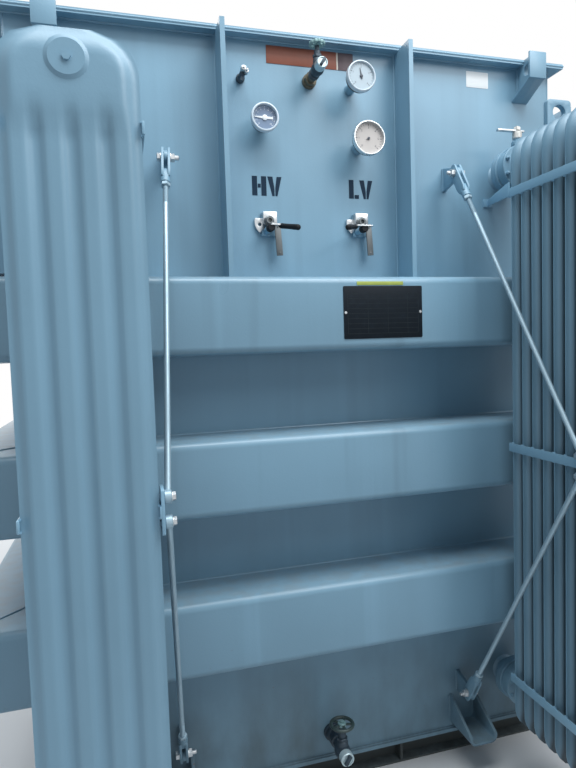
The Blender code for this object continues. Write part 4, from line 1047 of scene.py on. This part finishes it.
def make_switch_handle(name, x, z, turn, tail, aside):
    body = name + "_handle"
    node = name + "_switch_handle"
    mesh = bmesh.new()
    hub = [(0.0125, 0.0526), (0.0140, 0.054), (0.0140, 0.074), (0.0110, 0.0786)]
    turned(mesh, hub, (x, 0, z), steps=28)
    piece("switch_" + name + "_hub", mesh, GRIP, node, body=body)
    mesh = bmesh.new()
    left, right = sorted((x - turn * tail, x + turn * 0.040))
    outline = rounded((left, right), (0.058, 0.082), 0.005, 4)
    drawn(mesh, outline, 2, (z + 0.006, z + 0.010), soft=0.0008)
    bolt(mesh, (x + turn * 0.006, 0.070, z + 0.010), UP, 0.010, 0.004)
    piece("switch_" + name + "_lever", mesh, PLATED, node, body=body)
    mesh = bmesh.new()
    root = Vector((x + turn * 0.031, 0.070, z + 0.006))
    tip = Vector((x + turn * aside, 0.142, z - 0.013))
    length = (tip - root).length
    grip = [(0.0070, 0), (0.0085, 0.004), (0.0090, 0.012), (0.0086, 0.035), (0.0094, length - 0.026)]
    grip += [*arc((0, length - 0.0098), 0.0098, 0, 80, 6), (0, length)]
    turned(mesh, grip, root, (tip - root).normalized(), 24)
    piece("switch_" + name + "_grip", mesh, GRIP, node, body=body)


def make_switches():
    for name, sizes in SWITCHES.items():
        place = shaft_place(name)
        make_switch_mount(name, place.x, place.z)
        make_switch_handle(name, place.x, place.z, *sizes)


# Valves

FILL_Z = 2.577
DRAIN_Z = 0.205


def globe_valve(name, union, x, z, body, reach, out, stem, wheel_z):
    """Wall coupling, union, round body with its bonnet, and a bright plug at the end."""
    collar = body + 0.002
    neck = body * 0.66
    start, end = out - 2 * body, out + body
    mesh = bmesh.new()
    coupling = [(collar, SEAT), *disc(collar, 0.010, 0.014), (neck, 0.015), (neck, start)]
    turned(mesh, coupling, (x, 0, z), steps=32)
    turned(mesh, disc(body * 1.02, 0.016, 0.032), (x, 0, z), steps=6)
    piece(name + "_union", mesh, union, name)
    mesh = bmesh.new()
    profile = [(neck, start), *disc(body * 0.84, start + 0.002, start + 0.012), (neck, start + 0.014)]
    profile += [(neck, out - body * 0.9), (body * 0.88, out - body * 0.5), (body * 0.95, out)]
    turned(mesh, profile + [(body * 0.88, out + body * 0.5), (neck, end)], (x, 0, z), steps=32)
    top = wheel_z - 0.006 - z
    spindle = stem * 0.6
    bonnet = [(neck, 0), (neck, body + 0.006), (neck * 0.9, body + 0.009), (stem * 1.15, body + 0.012)]
    bonnet += [(stem, body + 0.014), (stem, top - 0.018), (spindle, top - 0.014), (spindle, top - 0.0006)]
    turned(mesh, bonnet, (x, out, z), UP, 28)
    turned(mesh, disc(stem * 1.5, body + 0.012, body + 0.022), (x, out, z), UP, 6)
    piece(name + "_body", mesh, NAVY, name)
    mesh = bmesh.new()
    face = body * 0.80
    rim, bottom = reach - 0.008, reach - 0.011
    plug = [(face, end - 0.004), (face, rim - 0.002), (face - 0.002, rim), (face * 0.8, rim)]
    turned(mesh, plug + [(face * 0.76, bottom)], (x, 0, z), steps=32)
    piece(name + "_plug", mesh, PLUG)
    # A raised bar across the plug, whose dark navy also paints the shade seen across the plug's face.
    mesh = bmesh.new()
    slant = Vector((0.5, 0, 0.8)).normalized() * face * 0.72
    middle = Vector((x, reach - 0.006, z))
    strip(mesh, middle - slant, middle + slant, 0.012, face * 0.5, (0, 1, 0), 0.0015)
    piece(name + "_plug_bar", mesh, NAVY)


def wheel_place(name):
    """Centre, radius and height span of a handwheel, from its node's box."""
    low, high = wall_box(name)
    return (low + high) / 2, (high.x - low.x) / 2, (low.z, high.z)


def wheel_hub(mesh, centre, radius, across, height):
    turned(mesh, disc(radius, -0.006, 0.007), centre, UP, 24)
    bolt(mesh, centre + Vector((0, 0, 0.007)), UP, across, height)


def make_fill_valve():
    centre, radius, (low, high) = wheel_place("fill_valve_wheel")
    x, out, wheel_z = centre
    reach = wall_box("fill_valve")[1].y + 0.010
    globe_valve("fill_valve", OLIVE, x, FILL_Z, 0.023, reach, out, 0.011, wheel_z)
    mesh = bmesh.new()
    outline = waved((x, out), radius - 0.0011, 0.0011, 96)
    holes = []
    for start in range(18, 360, 90):
        inner = arc((x, out), radius * 0.48, start + 50, start + 4, 5)
        holes.append(arc((x, out), radius * 0.72, start, start + 54, 7) + inner)
    drawn(mesh, outline, 2, (low + 0.001, high - 0.001), holes=holes, soft=0.0018)
    wheel_hub(mesh, centre, 0.011, 0.011, 0.004)
    piece("fill_handwheel", mesh, WHEEL_TEAL, "fill_valve_wheel", body="fill_wheel")


def make_drain_valve():
    centre, radius, _ = wheel_place("drain_valve_wheel")
    x, out, wheel_z = centre
    reach = wall_box("drain_valve")[1].y
    globe_valve("drain_valve", NAVY, x, DRAIN_Z, 0.030, reach, out, 0.013, wheel_z)
    rim = 0.006
    mesh = bmesh.new()
    turned(mesh, circle((radius - rim, 0), rim, 12), centre, UP, 48, closed=True)
    for number in range(5):
        spoke = (*polar((0, 0), 1, 2 * math.pi * number / 5 + 0.3), 0)
        across = (-spoke[1], spoke[0], 0)
        strip(mesh, centre, centre + Vector(spoke) * (radius - rim), 0.009, 0.005, across)
    piece("drain_handwheel", mesh, WHEEL, "drain_valve_wheel", body="drain_wheel")
    mesh = bmesh.new()
    wheel_hub(mesh, centre, 0.015, 0.012, 0.005)
    piece("drain_wheel_hub", mesh, WHEEL_TEAL, body="drain_wheel")


def make_bleeder():
    """A small wall cock with two bright knurled knobs."""
    low, high = wall_box("bleeder_valve")
    x, z = (low.x + high.x) / 2, (low.z + high.z) / 2
    mesh = bmesh.new()
    body = [*disc(0.015, SEAT, 0.012), (0.009, 0.013), (0.009, 0.032), *disc(0.010, 0.033, 0.050)]
    turned(mesh, body, (x, 0, z), steps=24)
    turned(mesh, disc(0.0125, 0.016, 0.026), (x, 0, z), steps=6)
    foot = Vector((x, 0.043, z))
    bar(mesh, foot, foot + Vector((-0.004, 0, -0.019)), 0.006, 14)
    bar(mesh, foot + Vector((-0.0035, 0, -0.017)), foot + Vector((-0.005, 0, -0.024)), 0.0075, 6)
    bar(mesh, foot, foot + Vector((0.010, 0.008, 0.001)), 0.005, 14)
    piece("bleeder_body", mesh, NAVY, "bleeder_valve")
    mesh = bmesh.new()
    knobs = (((x - 0.001, z + 0.007), 0.049, 0.074, 0.0080), ((x + 0.010, z), 0.046, 0.068, 0.0065))
    for middle, start, end, radius in knobs:
        drawn(mesh, waved(middle, radius, 0.0006, 60), 1, (start, end), soft=0.0012)
        cap = disc(radius * 0.55, end - 0.001, high.y, 0.001)
        turned(mesh, cap, (middle[0], 0, middle[1]), steps=20)
    piece("bleeder_knobs", mesh, PLATED)


# Stencils and bare plates

def upright(left, right, low=0.0, high=1.0):
    return [(left, low), (right, low), (right, high), (left, high)]


LETTERS = {
    "H": [upright(0.00, 0.36), upright(0.64, 1.00), upright(0.40, 0.60, 0.41, 0.61)],
    "V": [
        [(0.00, 1.0), (0.36, 1.0), (0.48, 0.40), (0.48, 0.0), (0.32, 0.0)],
        [(1.00, 1.0), (0.66, 1.0), (0.54, 0.40), (0.54, 0.0), (0.68, 0.0)],
    ],
    "L": [upright(0.00, 0.48), upright(0.56, 1.00, 0.0, 0.20)],
}
LETTER_HEIGHT = 0.066
LETTER_WIDTHS = {"H": 0.051, "V": 0.051, "L": 0.038}
PLATE = 0.0012


def make_stencils():
    """The side marks of the two switches: painted through a stencil, so each stroke is apart."""
    for word, starts, low in (("HV", (-0.223, -0.168), 2.180), ("LV", (0.1345, 0.175), 2.182)):
        mesh = bmesh.new()
        for letter, left in zip(word, starts):
            for stroke in LETTERS[letter]:
                width = LETTER_WIDTHS[letter]
                outline = [(left + a * width, low + b * LETTER_HEIGHT) for a, b in stroke]
                drawn(mesh, outline, 1, (SEAT, 0.0008))
        piece("stencil_" + word.lower(), mesh, STENCIL)


def card(name, finish, x_span, z_span, start=SEAT, thickness=PLATE, corner=0.001):
    mesh = bmesh.new()
    drawn(mesh, rounded(x_span, z_span, corner, 3), 1, (start, start + thickness), soft=0.0002)
    piece(name, mesh, finish)


def make_plates():
    """Bare plates where the real ones carry text: shapes and colours only."""
    band = (2.628, 2.688)
    card("plate_band", PLATE_ORANGE, (-0.158, 0.098), band)
    card("plate_band_line", PLATE_CREAM, (0.098, 0.104), band)
    card("plate_band_end", PLATE_BROWN, (0.104, 0.161), band)
    card("blank_sticker", STICKER, (0.621, 0.716), (2.615, 2.674), SEAT, 0.0006, 0.003)
    face = wall_box("upper_belt")[1].y
    card("nameplate", PLATE_BLACK, (0.024, 0.309), (1.6735, 1.847), face + SEAT, 0.0018, 0.004)
    mesh = bmesh.new()
    back, front = face + 0.0018, face + SEAT + 0.0018 + MARK
    for number in range(9):
        z = 1.690 + 0.0165 * number
        block(mesh, (0.038, back, z), (0.295, front, z + 0.0010))
    for x in (0.038, 0.110, 0.182, 0.254, 0.294):
        block(mesh, (x, back, 1.690), (x + 0.001, front, 1.823))
    piece("nameplate_rules", mesh, PLATE_GREY)
    card("belt_strip", PLATE_LIME, (0.073, 0.240), (1.850, 1.862), face - 0.004, 0.0052)
    mesh = bmesh.new()
    for x in (0.031, 0.302):
        screw = [(0.0052, back), (0.0040, back + 0.0021), (0, back + 0.0023)]
        turned(mesh, screw, (x, 0, 1.760), steps=18)
    piece("nameplate_screws", mesh, PLATED)


# Ends and cover

def make_throat_bolts():
    """Cover plate bolts round each throat's flange, its handles, and the welds at its root."""
    for name, side in (("hv_throat", -1), ("lv_throat", 1)):
        low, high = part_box(name)
        face = low.x if side < 0 else high.x
        mesh = bmesh.new()
        y_edge, z_low, z_high = high.y - 0.026, low.z + 0.026, high.z - 0.026
        places = [(y_edge * (2 * i / 9 - 1), z) for i in range(10) for z in (z_low, z_high)]
        places += [(y, z_low + (z_high - z_low) * i / 7) for i in range(1, 7) for y in (-y_edge, y_edge)]
        for y, z in places:
            bolt(mesh, (face, y, z), (side, 0, 0), 0.018, 0.0085)
        near, grip, far = (face + side * out for out in (-0.001, 0.014, 0.016))
        for y in (-0.16, 0.16):
            for z in (2.21, 2.325):
                bar(mesh, (near, y, z), (far, y, z), 0.005, 12)
            bar(mesh, (grip, y, 2.205), (grip, y, 2.33), 0.005, 12)
        piece(name + "_bolts", mesh, PLATED, matrix=None)
        mesh = bmesh.new()
        root = side * (HALF_LENGTH + 0.001)
        half, levels = 0.430, (1.935, 2.600)
        for y in (-half, half):
            weld(mesh, (root, y, levels[0]), (root, y, levels[1]))
        for z in levels:
            weld(mesh, (root, -half, z), (root, half, z))
        piece(name + "_welds", mesh, TANK, matrix=None)


def make_relief_device():
    """Spring-loaded relief valve: bolted flange, skirt, domed hat and its signal pin."""
    low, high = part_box("pressure_relief")
    x, y = (low.x + high.x) / 2, (low.y + high.y) / 2
    base, top = low.z, high.z
    mesh = bmesh.new()
    profile = [(0.120, base), (0.120, base + 0.014), (0.118, base + 0.016), (0.092, base + 0.016)]
    profile += [(0.090, base + 0.034), (0.095, base + 0.038), (0.095, base + 0.095)]
    for degrees in range(15, 90, 15):
        angle = math.radians(degrees)
        profile.append((0.015 + 0.080 * math.cos(angle), base + 0.095 + 0.035 * math.sin(angle)))
    profile += [(0.014, base + 0.130), (0.012, base + 0.134)]
    turned(mesh, profile, (x, y, 0), UP, 56)
    piece("relief_housing", mesh, PLATED, "pressure_relief", None)
    mesh = bmesh.new()
    for number in range(6):
        spot = (*polar((x, y), 0.106, 2 * math.pi * number / 6 + 0.2), base + 0.016)
        bolt(mesh, spot, UP, 0.019, 0.009, 0.004)
    pin = [(0.007, base + 0.133), (0.007, top - 0.008), *disc(0.010, top - 0.007, top, 0.001)]
    turned(mesh, pin, (x, y, 0), UP, 20)
    piece("relief_pin_and_bolts", mesh, GALVANIZED, matrix=None)


def make_handhole():
    """Raised frame, bolted lid with a lifting handle."""
    low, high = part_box("handhole_cover")
    mesh = bmesh.new()
    top = high.z - 0.010
    frame_edge = rounded((low.x + 0.025, high.x - 0.025), (low.y + 0.025, high.y - 0.025), 0.025)
    drawn(mesh, frame_edge, 2, (low.z, top + SEAT))
    drawn(mesh, rounded((low.x, high.x), (low.y, high.y), 0.050, 8), 2, (top, high.z), soft=0.0012)
    piece("handhole_lid", mesh, TANK, "handhole_cover", None)
    mesh = bmesh.new()
    edge = 0.020
    left, right, front, rear = low.x + edge, high.x - edge, low.y + edge, high.y - edge
    places = [(left + (right - left) * (i + 0.5) / 5, y) for i in range(5) for y in (front, rear)]
    places += [(x, front + (rear - front) * (i + 0.5) / 4) for i in range(4) for x in (left, right)]
    for x, y in places:
        bolt(mesh, (x, y, high.z), UP, 0.019, 0.009)
    x, y = (low.x + high.x) / 2, (low.y + high.y) / 2
    for foot in around(y, 0.055):
        bar(mesh, (x, foot, high.z - 0.001), (x, foot, high.z + 0.024), 0.006, 14)
    bar(mesh, (x, y - 0.060, high.z + 0.022), (x, y + 0.060, high.z + 0.022), 0.006, 14)
    piece("handhole_bolts", mesh, PLATED, matrix=None)


# Stage

EYE_PLACE = (-0.675, -2.620, 1.655)
EYE_RIGHT = (0.96218573, -0.27047538, -0.03227525)
EYE_UP = (0.04829326, 0.05277568, 0.99743796)
EYE_BACK = (-0.26807907, -0.96127925, 0.06384215)
LENS_MM = 27.32
SKY_STRENGTH = 0.34
FLOOR_HALF = 12.0
LAMPS = {
    "key": ((2.0, -3.6, 4.8), (0, 0, 1.8), (2.4, 2.4), 95.0, (1.0, 1.0, 1.0)),
    "top": ((0.1, -2.0, 5.0), (0, -0.5, 1.8), (3.4, 1.4), 130.0, (0.94, 0.98, 1.0)),
    "back": ((-2.5, 4.5, 4.0), (0, 0, 1.5), (4.0, 3.0), 220.0, (1.0, 1.0, 1.0)),
}


def set_camera():
    data = bpy.data.cameras.new("eye")
    data.lens = LENS_MM
    data.sensor_width = 36.0
    data.clip_end = 100.0
    camera = add_object("eye", data)
    camera.matrix_world = axes_at(EYE_PLACE, EYE_RIGHT, EYE_UP, EYE_BACK)
    bpy.context.scene.camera = camera


def add_lamps():
    for name, (place, target, size, watts, colour) in LAMPS.items():
        data = bpy.data.lights.new(name, "AREA")
        data.shape = "RECTANGLE"
        data.size, data.size_y = size
        data.energy = watts
        data.color = colour
        look = (Vector(target) - Vector(place)).to_track_quat("-Z", "Y").to_matrix().to_4x4()
        add_object(name, data).matrix_world = Matrix.Translation(place) @ look


def set_surround():
    """Soft blue-white light all round, and white where the camera sees it."""
    world = bpy.data.worlds.new("surround")
    world.use_nodes = True
    tree = world.node_tree
    bpy.context.scene.world = world
    sky = tree.nodes["Background"]
    sky.inputs["Color"].default_value = (0.80, 0.90, 1.0, 1)
    sky.inputs["Strength"].default_value = SKY_STRENGTH
    white = tree.nodes.new("ShaderNodeBackground")
    white.inputs["Color"].default_value = (1, 1, 1, 1)
    path = tree.nodes.new("ShaderNodeLightPath")
    seen = path.outputs["Is Camera Ray"]
    for name in ("Is Glossy Ray", "Is Transmission Ray"):
        either = tree.nodes.new("ShaderNodeMath")
        either.operation = "MAXIMUM"
        tree.links.new(seen, either.inputs[0])
        tree.links.new(path.outputs[name], either.inputs[1])
        seen = either.outputs[0]
    choose = tree.nodes.new("ShaderNodeMixShader")
    for number, socket in enumerate((seen, sky.outputs[0], white.outputs[0])):
        tree.links.new(socket, choose.inputs[number])
    tree.links.new(choose.outputs[0], tree.nodes["World Output"].inputs[0])


def lay_floor():
    """A pale floor that fades away towards its edges."""
    made = Finish("floor_card", "base_paint", (0.72, 0.73, 0.74), 0.85)
    made.set("Base Color", made.mix(made.noise(3.0, 4.0), (0.70, 0.71, 0.72), (0.74, 0.75, 0.76)))
    across, away = made.axis("X"), made.axis("Y")
    made.set("Alpha", 1 - (across * across + away * away).rise(10.0, 60.0))
    mesh = bmesh.new()
    bmesh.ops.create_grid(mesh, x_segments=1, y_segments=1, size=FLOOR_HALF)
    floor = add_object("floor", mesh_data("floor", mesh))
    floor.data.materials.append(made.material)


bpy.context.scene.view_settings.view_transform = "Standard"
set_camera()
set_surround()
add_lamps()
lay_floor()
finish_nodes()
make_radiators()
make_braces()
make_belts()
make_tank_welds()
make_pads_and_lugs()
make_gauges()
make_switches()
make_fill_valve()
make_drain_valve()
make_bleeder()
make_stencils()
make_plates()
make_throat_bolts()
make_relief_device()
make_handhole()
